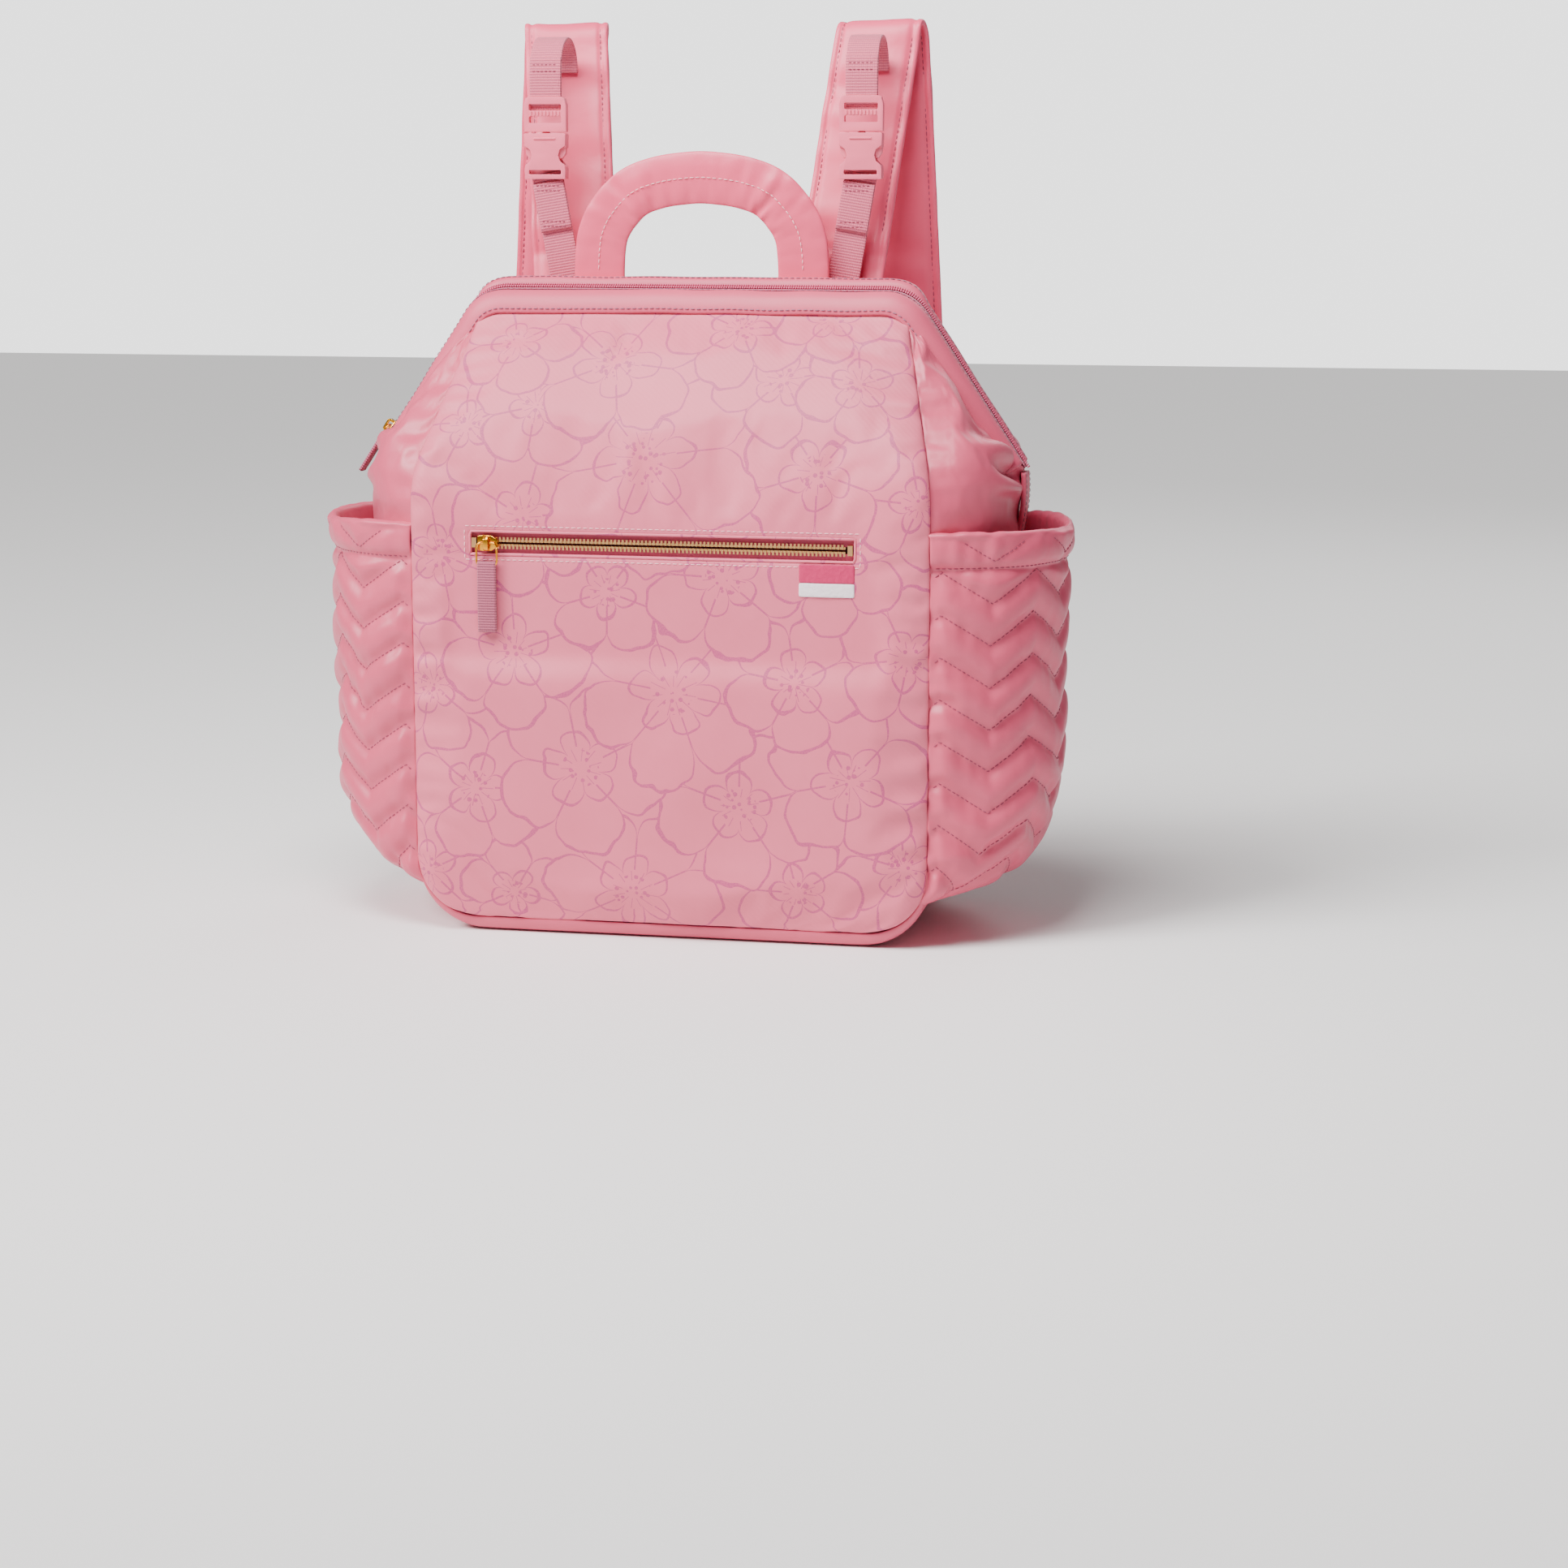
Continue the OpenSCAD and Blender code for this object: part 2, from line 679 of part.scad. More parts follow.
front_panel();
front_panel_upper();
back_panel();
back_panel_upper();
back_foam();
base_panel();
base_board();
gusset_left();
gusset_right();
upper_gusset_front_left();
upper_gusset_front_right();
upper_gusset_rear_left();
upper_gusset_rear_right();
side_pocket_left();
side_pocket_right();
pocket_elastic_left();
pocket_elastic_right();
front_frame_wire();
rear_frame_wire();
front_wire_tips();
rear_wire_tips();
front_frame_band();
rear_frame_band();
main_zip_front();
main_zip_rear();
main_slider();
main_pull();
zip_end_tab_left();
zip_end_tab_right();
pocket_zip_tape();
pocket_zip_teeth();
pocket_zip_stops();
pocket_pouch();
pocket_slider();
pocket_pull_ring();
pocket_pull_tab();
side_label();
carry_handle();
handle_foam();
shoulder_strap_left();
shoulder_strap_right();
strap_webbing_left();
strap_webbing_right();
strap_adjuster_left();
strap_adjuster_right();
loop_webbing_lower_left();
loop_webbing_lower_right();
loop_webbing_upper_left();
loop_webbing_upper_right();
buckle_socket_left();
buckle_socket_right();
buckle_plug_left();
buckle_plug_right();
prong_left_outer();
prong_left_inner();
prong_right_outer();
prong_right_inner();
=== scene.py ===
"""Looks of the frame-top diaper backpack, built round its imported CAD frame.

Lengths inside the script are millimetres until a mesh is written; Blender gets metres.
+Z is up, the front panel faces -Y, and +X is to the right of a person facing that panel.
"""

import logging
import math
from dataclasses import dataclass, field
from enum import Enum
from typing import Callable, Sequence

import bmesh
import bpy
import numpy as np
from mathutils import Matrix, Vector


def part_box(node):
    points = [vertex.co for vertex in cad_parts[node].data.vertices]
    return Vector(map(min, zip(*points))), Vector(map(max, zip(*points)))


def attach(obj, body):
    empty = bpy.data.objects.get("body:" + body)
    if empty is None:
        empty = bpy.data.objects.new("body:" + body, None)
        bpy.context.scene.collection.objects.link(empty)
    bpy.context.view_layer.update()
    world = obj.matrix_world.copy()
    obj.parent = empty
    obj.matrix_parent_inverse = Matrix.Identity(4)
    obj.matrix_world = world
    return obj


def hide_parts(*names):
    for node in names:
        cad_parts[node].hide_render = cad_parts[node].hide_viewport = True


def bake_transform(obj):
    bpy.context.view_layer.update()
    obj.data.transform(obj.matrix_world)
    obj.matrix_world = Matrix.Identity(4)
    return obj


LOG = logging.getLogger("bag")
MM = 0.001
Array = np.ndarray
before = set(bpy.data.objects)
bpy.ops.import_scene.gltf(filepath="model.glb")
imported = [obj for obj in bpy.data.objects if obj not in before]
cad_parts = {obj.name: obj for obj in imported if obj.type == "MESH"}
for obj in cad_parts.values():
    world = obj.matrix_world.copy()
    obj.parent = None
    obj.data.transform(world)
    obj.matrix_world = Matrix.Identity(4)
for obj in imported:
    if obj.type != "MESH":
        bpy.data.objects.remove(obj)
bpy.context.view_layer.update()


# ---------------------------------------------------------------- small helpers


class Side(Enum):
    """Side of the bag, with the sign of its X."""

    LEFT = -1
    RIGHT = 1

    @property
    def word(self) -> str:
        """The side's name as the CAD nodes spell it."""
        return self.name.lower()


def linear(code: str) -> tuple[float, float, float, float]:
    """Turns an sRGB hex colour into linear RGBA.

    Args:
        code: colour such as "#d98e9c".
    Returns:
        Linear red, green, blue and an alpha of 1.
    """
    parts = [int(code[i:i + 2], 16) / 255 for i in (1, 3, 5)]
    lin = [c / 12.92 if c <= 0.04045 else ((c + 0.055) / 1.055) ** 2.4 for c in parts]
    return (lin[0], lin[1], lin[2], 1.0)


def corners(node: str) -> tuple[Array, Array]:
    """Lowest and highest corner of a CAD node, in millimetres."""
    low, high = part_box(node)
    return np.array(low) / MM, np.array(high) / MM


def waves(x: Array, y: Array, size: float, seed: int, count: int = 9) -> Array:
    """Smooth random ripple made of plane waves, within about -1 to 1.

    Args:
        x: first coordinate, mm.
        y: second coordinate, mm.
        size: usual distance from crest to crest, mm.
        seed: picks the ripple.
        count: how many waves are summed.
    Returns:
        The ripple's height at each point.
    """
    rng = np.random.RandomState(seed)
    total = np.zeros(np.broadcast(x, y).shape)
    for _ in range(count):
        turn = rng.uniform(0, math.tau)
        pitch = size * rng.uniform(0.7, 1.6)
        phase = rng.uniform(0, math.tau)
        total = total + np.sin((x * math.cos(turn) + y * math.sin(turn)) * math.tau / pitch + phase)
    return total / math.sqrt(count) / 1.4


def smooth_step(x: Array, low: float, high: float) -> Array:
    """Eases from 0 at low to 1 at high."""
    t = np.clip((x - low) / (high - low), 0, 1)
    return t * t * (3 - 2 * t)


def unit(v: Array) -> Array:
    """Scales vectors along the last axis to length 1."""
    return v / np.maximum(np.linalg.norm(v, axis=-1, keepdims=True), 1e-9)


def snapped(values: Array, marks: Sequence[float]) -> Array:
    """Moves the nearest value onto each mark, so that a mesh line falls there."""
    out = values.copy()
    for mark in marks:
        out[np.argmin(np.abs(out - mark))] = mark
    return out


def polyline(points: Array, step: float, soften: float = 0.0) -> Array:
    """Samples a polyline evenly and rounds its corners.

    Args:
        points: corner points, one row each.
        step: distance between samples, mm.
        soften: length over which each corner is rounded, mm.
    Returns:
        The evenly spaced samples, ends included.
    """
    seg = np.linalg.norm(np.diff(points, axis=0), axis=1)
    dist = np.concatenate([[0], np.cumsum(seg)])
    count = max(3, int(round(dist[-1] / step)) + 1)
    at = np.linspace(0, dist[-1], count)
    out = np.stack([np.interp(at, dist, points[:, k]) for k in range(points.shape[1])], axis=1)
    if soften > 0:
        half = max(1, int(soften / step / 2))
        head = out[0] + (out[0] - out[1]) * np.arange(half, 0, -1)[:, None]
        tail = out[-1] + (out[-1] - out[-2]) * np.arange(1, half + 1)[:, None]
        ext = np.concatenate([head, out, tail])
        kernel = np.ones(2 * half + 1) / (2 * half + 1)
        out = np.stack([np.convolve(ext[:, k], kernel, "valid") for k in range(out.shape[1])], axis=1)
    return out


# ---------------------------------------------------------------- mesh makers


def new_object(name: str, verts: Array, faces: Sequence[Sequence[int]], flat: Array | None = None
               ) -> bpy.types.Object:
    """Makes a smooth-shaded mesh object from millimetre points.

    Args:
        name: the piece's name.
        verts: points, one row each, mm.
        faces: corner indices of each face.
        flat: place of each point on the flat cloth, mm, kept as the attribute cloth_mm.
    Returns:
        The new object, linked to the scene.
    """
    mesh = bpy.data.meshes.new(name)
    mesh.from_pydata((np.asarray(verts) * MM).tolist(), [], [list(f) for f in faces])
    if flat is not None:
        layer = mesh.attributes.new("cloth_mm", "FLOAT_VECTOR", "POINT")
        data = np.zeros((len(verts), 3), dtype=np.float32)
        data[:, :flat.shape[1]] = flat
        layer.data.foreach_set("vector", data.ravel())
    mesh.polygons.foreach_set("use_smooth", [True] * len(mesh.polygons))
    mesh.update()
    obj = bpy.data.objects.new(name, mesh)
    bpy.context.scene.collection.objects.link(obj)
    return obj


def place(obj: bpy.types.Object, material: bpy.types.Material, body: str | None,
          nodes: Sequence[str] = ()) -> bpy.types.Object:
    """Dresses a piece, and ties it to a body and to CAD nodes.

    Args:
        obj: the piece.
        material: what it is made of.
        body: the CAD body it rides on, or None to leave it unattached.
        nodes: CAD nodes that it stands for.
    Returns:
        The same piece.
    """
    obj.data.materials.clear()
    obj.data.materials.append(material)
    if nodes:
        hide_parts(*nodes)
    if body:
        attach(obj, body)
    return obj


def modify(obj: bpy.types.Object, kind: str, **settings: object) -> None:
    """Adds one modifier with its settings."""
    mod = obj.modifiers.new(kind.title(), kind)
    for key, value in settings.items():
        setattr(mod, key, value)


def sweep(name: str, path: Array, across: Array, profile: Array, closed: bool = True,
          capped: bool = True, swell: Callable[[Array, Array], Array] | None = None) -> bpy.types.Object:
    """Sweeps a closed profile along a path.

    Args:
        name: the piece's name.
        path: centre points, mm.
        across: the direction of the profile's first axis at each point.
        profile: points of the profile, first axis across, second along the normal, mm.
        closed: True where the profile is a ring.
        capped: True to close both ends.
        swell: extra height along the normal, from distance along and distance across, mm.
    Returns:
        The new object.
    """
    tangent = unit(np.gradient(path, axis=0))
    wide = unit(across - tangent * np.sum(across * tangent, axis=1, keepdims=True))
    normal = np.cross(wide, tangent)
    along = np.concatenate([[0], np.cumsum(np.linalg.norm(np.diff(path, axis=0), axis=1))])
    a, b = profile[:, 0], profile[:, 1]
    rows, cols = len(path), len(profile)
    height = np.tile(b, (rows, 1))
    if swell is not None:
        height = height + np.sign(b)[None, :] * swell(along[:, None], a[None, :])
    verts = path[:, None, :] + wide[:, None, :] * a[None, :, None] + normal[:, None, :] * height[:, :, None]
    ring = np.concatenate([[0], np.cumsum(np.linalg.norm(np.diff(profile, axis=0), axis=1))])
    flat = np.stack([np.tile(ring, (rows, 1)), np.tile(along[:, None], (1, cols))], axis=-1)
    faces = []
    for i in range(rows - 1):
        for j in range(cols if closed else cols - 1):
            k = (j + 1) % cols
            faces.append((i * cols + j, i * cols + k, (i + 1) * cols + k, (i + 1) * cols + j))
    if capped and closed:
        faces.append(tuple(range(cols - 1, -1, -1)))
        faces.append(tuple((rows - 1) * cols + j for j in range(cols)))
    obj = new_object(name, verts.reshape(-1, 3), faces, flat.reshape(-1, 2))
    tidy_normals(obj)
    return obj


def tidy_normals(obj: bpy.types.Object) -> None:
    """Makes every face of a closed mesh face outwards."""
    bm = bmesh.new()
    bm.from_mesh(obj.data)
    bmesh.ops.recalc_face_normals(bm, faces=bm.faces)
    bm.to_mesh(obj.data)
    bm.free()


def oval(width: float, depth: float, count: int = 24, power: float = 4.0) -> Array:
    """Rounded-oblong profile of a padded or woven strip.

    Args:
        width: full width, mm.
        depth: full thickness, mm.
        count: how many points.
        power: 2 is an ellipse, more is squarer.
    Returns:
        The profile's points.
    """
    t = np.linspace(0, math.tau, count, endpoint=False) + math.pi / count
    c, s = np.cos(t), np.sin(t)
    return np.stack([width / 2 * np.sign(c) * np.abs(c) ** (2 / power),
                     depth / 2 * np.sign(s) * np.abs(s) ** (2 / power)], axis=1)


def slab(name: str, outline: Array, depth: float, origin: Array, x_dir: Array, y_dir: Array,
         bevel: float, holes: Sequence[Array] = (), segments: int = 3) -> bpy.types.Object:
    """Extrudes a flat outline with holes into a bevelled plate.

    Args:
        name: the piece's name.
        outline: corner points in the plate's plane, mm.
        depth: thickness, mm, centred on the plane.
        origin: where the outline's zero is, mm.
        x_dir: direction of the outline's first axis.
        y_dir: direction of the outline's second axis.
        bevel: radius of the worn edge, mm.
        holes: outlines cut through the plate.
        segments: how many steps the bevel has.
    Returns:
        The new object.
    """
    curve = bpy.data.curves.new(name + "_outline", "CURVE")
    curve.dimensions = "2D"
    curve.fill_mode = "BOTH"
    curve.extrude = depth / 2 * MM
    for ring in [outline, *holes]:
        spline = curve.splines.new("POLY")
        spline.points.add(len(ring) - 1)
        for point, (px, py) in zip(spline.points, ring):
            point.co = (px * MM, py * MM, 0, 1)
        spline.use_cyclic_u = True
    temp = bpy.data.objects.new(name + "_outline", curve)
    bpy.context.scene.collection.objects.link(temp)
    depsgraph = bpy.context.evaluated_depsgraph_get()
    mesh = bpy.data.meshes.new_from_object(temp.evaluated_get(depsgraph))
    bpy.data.objects.remove(temp)
    z_dir = np.cross(x_dir, y_dir)
    bm = bmesh.new()
    bm.from_mesh(mesh)
    bpy.data.meshes.remove(mesh)
    bmesh.ops.remove_doubles(bm, verts=bm.verts, dist=1e-6)
    bmesh.ops.dissolve_limit(bm, angle_limit=0.02, verts=bm.verts, edges=bm.edges)
    for vert in bm.verts:
        local = np.array(vert.co)
        vert.co = origin * MM + x_dir * local[0] + y_dir * local[1] + z_dir * local[2]
    bmesh.ops.recalc_face_normals(bm, faces=bm.faces)
    out = bpy.data.meshes.new(name)
    bm.to_mesh(out)
    bm.free()
    obj = bpy.data.objects.new(name, out)
    bpy.context.scene.collection.objects.link(obj)
    modify(obj, "BEVEL", width=bevel * MM, segments=segments, limit_method="ANGLE", harden_normals=False)
    out.polygons.foreach_set("use_smooth", [True] * len(out.polygons))
    return obj


def joined(name: str, parts: Sequence[bpy.types.Object]) -> bpy.types.Object:
    """Applies the modifiers of several meshes and joins them into one piece."""
    depsgraph = bpy.context.evaluated_depsgraph_get()
    bm = bmesh.new()
    for part in parts:
        mesh = bpy.data.meshes.new_from_object(part.evaluated_get(depsgraph))
        bm.from_mesh(mesh)
        bpy.data.meshes.remove(mesh)
    mesh = bpy.data.meshes.new(name)
    bm.to_mesh(mesh)
    bm.free()
    for part in parts:
        bpy.data.objects.remove(part)
    mesh.polygons.foreach_set("use_smooth", [True] * len(mesh.polygons))
    obj = bpy.data.objects.new(name, mesh)
    bpy.context.scene.collection.objects.link(obj)
    return obj


def rounded_box(half_w: float, half_h: float, radius: float, steps: int = 5) -> Array:
    """Outline of a rectangle with rounded corners, centred on zero, mm."""
    out = []
    for quarter, (sx, sy) in enumerate(((1, 1), (-1, 1), (-1, -1), (1, -1))):
        for i in range(steps):
            a = math.pi / 2 * (quarter + i / (steps - 1))
            out.append((sx * (half_w - radius) + radius * math.cos(a),
                        sy * (half_h - radius) + radius * math.sin(a)))
    return np.array(out)


def stitches(name: str, runs: Sequence[tuple[Array, Array]], length: float = 2.9, pitch: float = 3.8,
             radius: float = 0.32) -> bpy.types.Object:
    """Makes raised thread stitches along paths, each dipping into the cloth at its ends.

    Args:
        name: the piece's name.
        runs: pairs of path points and surface normals.
        length: length of one stitch, mm.
        pitch: distance from stitch to stitch, mm.
        radius: radius of the thread, mm.
    Returns:
        One object with every stitch.
    """
    verts, faces = [], []
    ring = 6
    stations = ((-0.5, 0.25, -0.5), (-0.34, 0.85, 0.45), (0.0, 1.0, 0.8), (0.34, 0.85, 0.45), (0.5, 0.25, -0.5))
    angles = np.arange(ring) * math.tau / ring
    for path, normal in runs:
        dist = np.concatenate([[0], np.cumsum(np.linalg.norm(np.diff(path, axis=0), axis=1))])
        for s in np.arange(pitch / 2, dist[-1] - pitch / 2, pitch):
            here = np.array([np.interp(s, dist, path[:, k]) for k in range(3)])
            ahead = np.array([np.interp(s + 0.5, dist, path[:, k]) for k in range(3)])
            up = unit(np.array([np.interp(s, dist, normal[:, k]) for k in range(3)]))
            go = unit(ahead - here)
            over = np.cross(go, up)
            base = len(verts)
            for t, fat, lift in stations:
                centre = here + go * (t * length) + up * (lift * radius)
                for a in angles:
                    verts.append(centre + (over * math.cos(a) + up * math.sin(a) * 0.8) * radius * fat)
            for i in range(len(stations) - 1):
                for j in range(ring):
                    k = (j + 1) % ring
                    faces.append((base + i * ring + j, base + i * ring + k,
                                  base + (i + 1) * ring + k, base + (i + 1) * ring + j))
            faces.append(tuple(base + j for j in range(ring - 1, -1, -1)))
            faces.append(tuple(base + (len(stations) - 1) * ring + j for j in range(ring)))
    return new_object(name, np.array(verts), faces)


class GridSheet:
    """A cloth sheet kept as a grid of points, so that seams can be found on it again."""

    def __init__(self, name: str, points: Array, flat: Array, outward: Array) -> None:
        """Keeps the grid.

        Args:
            name: the piece's name.
            points: rows x columns x 3, mm.
            flat: rows x columns x 2, place on the flat cloth, mm.
            outward: a rough outward direction, or one for each point.
        """
        self.name = name
        self.points = points
        self.flat = flat
        self.outward = outward
        self.cut: list[tuple[int, int]] = []

    def normals(self) -> Array:
        """Surface normals that face outwards, one per grid point."""
        n = unit(np.cross(np.gradient(self.points, axis=1), np.gradient(self.points, axis=0)))
        sign = np.sign(np.sum(n * self.outward, axis=-1, keepdims=True))
        return n * np.where(sign == 0, 1, sign)

    def push(self, height: Array) -> None:
        """Moves every point along its normal by height, mm."""
        self.points = self.points + self.normals() * height[..., None]

    def at(self, row: Array, col: Array) -> tuple[Array, Array]:
        """Points and normals at fractional rows and columns."""
        normal = self.normals()
        r = np.clip(np.asarray(row, float), 0, self.points.shape[0] - 1.001)
        c = np.clip(np.asarray(col, float), 0, self.points.shape[1] - 1.001)
        r0, c0 = r.astype(int), c.astype(int)
        fr, fc = (r - r0)[:, None], (c - c0)[:, None]

        def mix(grid: Array) -> Array:
            """Reads one grid between its points."""
            low = grid[r0, c0] * (1 - fc) + grid[r0, c0 + 1] * fc
            high = grid[r0 + 1, c0] * (1 - fc) + grid[r0 + 1, c0 + 1] * fc
            return low * (1 - fr) + high * fr

        return mix(self.points), unit(mix(normal))

    def faces(self) -> list[tuple[int, int, int, int]]:
        """Quads of the grid, facing outwards, without the cut ones."""
        rows, cols = self.points.shape[:2]
        mid_r, mid_c = rows // 2, cols // 2
        raw = np.cross(self.points[mid_r, mid_c + 1] - self.points[mid_r, mid_c],
                       self.points[mid_r + 1, mid_c] - self.points[mid_r, mid_c])
        flip = float(np.dot(raw, self.normals()[mid_r, mid_c])) < 0
        cut = set(self.cut)
        out = []
        for i in range(rows - 1):
            for j in range(cols - 1):
                if (i, j) in cut:
                    continue
                quad = (i * cols + j, i * cols + j + 1, (i + 1) * cols + j + 1, (i + 1) * cols + j)
                out.append(quad[::-1] if flip else quad)
        return out

    def settle(self, held: Array, pressure: float, grow: float, cap: Array | float, frames: int = 16) -> None:
        """Lets the cloth swell and crumple between the points where it is held.

        Args:
            held: how firmly each grid point is held, 0 to 1.
            pressure: the filling's push.
            grow: how much too large the cloth is for its place, as a fraction.
            cap: the furthest that a point may move, mm, one number or one for each point.
            frames: how many steps the simulation runs.
        """
        obj = new_object(self.name + "_sim", self.points.reshape(-1, 3), self.faces())
        group = obj.vertex_groups.new(name="held")
        weights = held.reshape(-1)
        for index, weight in enumerate(weights):
            if weight > 0:
                group.add([index], float(weight), "REPLACE")
        mod = obj.modifiers.new("Cloth", "CLOTH")
        cloth = mod.settings
        cloth.quality = 6
        cloth.mass = 0.25
        cloth.tension_stiffness = 12
        cloth.compression_stiffness = 12
        cloth.shear_stiffness = 4
        cloth.bending_stiffness = 0.35
        cloth.vertex_group_mass = "held"
        cloth.use_pressure = True
        cloth.uniform_pressure_force = pressure
        cloth.shrink_min = -grow
        cloth.effector_weights.gravity = 0
        mod.collision_settings.use_self_collision = False
        mod.collision_settings.use_collision = False
        scene = bpy.context.scene
        for step in range(1, frames + 1):
            scene.frame_set(step)
        mesh = obj.evaluated_get(bpy.context.evaluated_depsgraph_get()).data
        moved = np.empty(len(mesh.vertices) * 3)
        mesh.vertices.foreach_get("co", moved)
        moved = moved.reshape(self.points.shape) / MM
        step = moved - self.points
        size = np.linalg.norm(step, axis=-1, keepdims=True)
        limit = np.broadcast_to(np.asarray(cap, float), self.points.shape[:2])[..., None]
        self.points = self.points + step * np.minimum(1, limit / np.maximum(size, 1e-6))
        bpy.data.objects.remove(obj)
        scene.frame_set(1)

    def build(self, thickness: float, levels: int = 1) -> bpy.types.Object:
        """Turns the grid into a closed cloth with thickness, mm, on its inner side."""
        obj = new_object(self.name, self.points.reshape(-1, 3), self.faces(), self.flat.reshape(-1, 2))
        if self.cut:
            bm = bmesh.new()
            bm.from_mesh(obj.data)
            bmesh.ops.delete(bm, geom=[v for v in bm.verts if not v.link_faces], context="VERTS")
            bm.to_mesh(obj.data)
            bm.free()
        modify(obj, "SOLIDIFY", thickness=thickness * MM, offset=-1, use_even_offset=False)
        if levels:
            modify(obj, "SUBSURF", levels=levels, render_levels=levels)
        return obj


# ---------------------------------------------------------------- finishes


def add(tree: bpy.types.NodeTree, kind: str, inputs: dict[object, object] | None = None,
        **settings: object) -> bpy.types.Node:
    """Adds one shader node with its settings, values and links.

    Args:
        tree: the node tree.
        kind: Blender's name of the node type.
        inputs: socket name or number to a value, or to the socket that feeds it.
        settings: properties of the node itself.
    Returns:
        The new node.
    """
    node = tree.nodes.new(kind)
    for key, value in settings.items():
        setattr(node, key, value)
    for key, value in (inputs or {}).items():
        socket = node.inputs[key]
        if isinstance(value, bpy.types.NodeSocket):
            tree.links.new(value, socket)
        else:
            socket.default_value = value
    return node


def fresh(name: str) -> tuple[bpy.types.Material, bpy.types.NodeTree, bpy.types.Node]:
    """Starts a material: returns it, its tree and its Principled shader."""
    mat = bpy.data.materials.new(name)
    mat.use_nodes = True
    tree = mat.node_tree
    return mat, tree, tree.nodes["Principled BSDF"]


@dataclass(frozen=True)
class Satin:
    """Polyester satin, woven with long floats and calendered.

    The eye gets a soft broad sheen and small puckers that catch the light.
    """

    name: str
    colour: str
    shade: str
    roughness: float = 0.41
    sheen: float = 0.12
    pucker_mm: float = 26.0
    pucker: float = 0.3

    def build(self) -> bpy.types.Material:
        """Builds the node material."""
        mat, tree, skin = fresh(self.name)
        place_ = add(tree, "ShaderNodeTexCoord").outputs["Object"]
        cloud = add(tree, "ShaderNodeTexNoise", {"Vector": place_, "Scale": 18.0, "Detail": 3.0})
        tint = add(tree, "ShaderNodeMix", {0: cloud.outputs["Fac"], 6: linear(self.shade),
                                           7: linear(self.colour)}, data_type="RGBA")
        pucker = add(tree, "ShaderNodeTexNoise", {"Vector": place_, "Scale": 1000.0 / self.pucker_mm,
                                                  "Detail": 3.0, "Roughness": 0.45, "Distortion": 0.4})
        weave = add(tree, "ShaderNodeTexNoise", {"Vector": place_, "Scale": 900.0, "Detail": 1.0})
        low = add(tree, "ShaderNodeBump", {"Height": pucker.outputs["Fac"], "Strength": self.pucker,
                                           "Distance": 0.004})
        fine = add(tree, "ShaderNodeBump", {"Height": weave.outputs["Fac"], "Strength": 0.07,
                                            "Distance": 0.0003, "Normal": low.outputs["Normal"]})
        rough = add(tree, "ShaderNodeMapRange", {"Value": pucker.outputs["Fac"],
                                                 "To Min": self.roughness - 0.05,
                                                 "To Max": self.roughness + 0.08})
        tree.links.new(tint.outputs[2], skin.inputs["Base Color"])
        tree.links.new(fine.outputs["Normal"], skin.inputs["Normal"])
        tree.links.new(rough.outputs["Result"], skin.inputs["Roughness"])
        skin.inputs["Sheen Weight"].default_value = self.sheen
        skin.inputs["Sheen Roughness"].default_value = 0.4
        skin.inputs["Sheen Tint"].default_value = linear("#ffc4cc")
        return mat


@dataclass(frozen=True)
class Ribbed:
    """Narrow woven tape, with ribs across its length.

    The eye gets even fine ribs, dull thread and painted shade in the gaps between the ribs.
    """

    name: str
    colour: str
    # gap: colour of the painted shade that darkens the gaps between the ribs
    gap: str
    rib_mm: float = 1.5
    roughness: float = 0.72
    lengthways: bool = False

    def build(self) -> bpy.types.Material:
        """Builds the node material."""
        mat, tree, skin = fresh(self.name)
        flat = add(tree, "ShaderNodeAttribute", attribute_name="cloth_mm").outputs["Vector"]
        ribs = add(tree, "ShaderNodeTexWave", {"Vector": flat, "Scale": 1.0 / self.rib_mm / 3.18,
                                               "Distortion": 0.15, "Detail": 0.0},
                   bands_direction="X" if self.lengthways else "Y")
        cross = add(tree, "ShaderNodeTexWave", {"Vector": flat, "Scale": 1.0 / 0.9 / 3.18, "Distortion": 0.2},
                    bands_direction="Y" if self.lengthways else "X")
        both = add(tree, "ShaderNodeMath", {0: ribs.outputs["Fac"], 1: cross.outputs["Fac"]},
                   operation="MULTIPLY_ADD")
        both.inputs[2].default_value = 0.0
        both.operation = "ADD"
        # Painted shade: the gaps between the ribs take the darker gap colour, on top of the bump
        tint = add(tree, "ShaderNodeMix", {0: ribs.outputs["Fac"], 6: linear(self.gap),
                                           7: linear(self.colour)}, data_type="RGBA")
        bump = add(tree, "ShaderNodeBump", {"Height": both.outputs[0], "Strength": 0.45, "Distance": 0.0005})
        tree.links.new(tint.outputs[2], skin.inputs["Base Color"])
        tree.links.new(bump.outputs["Normal"], skin.inputs["Normal"])
        skin.inputs["Roughness"].default_value = self.roughness
        skin.inputs["Sheen Weight"].default_value = 0.25
        return mat


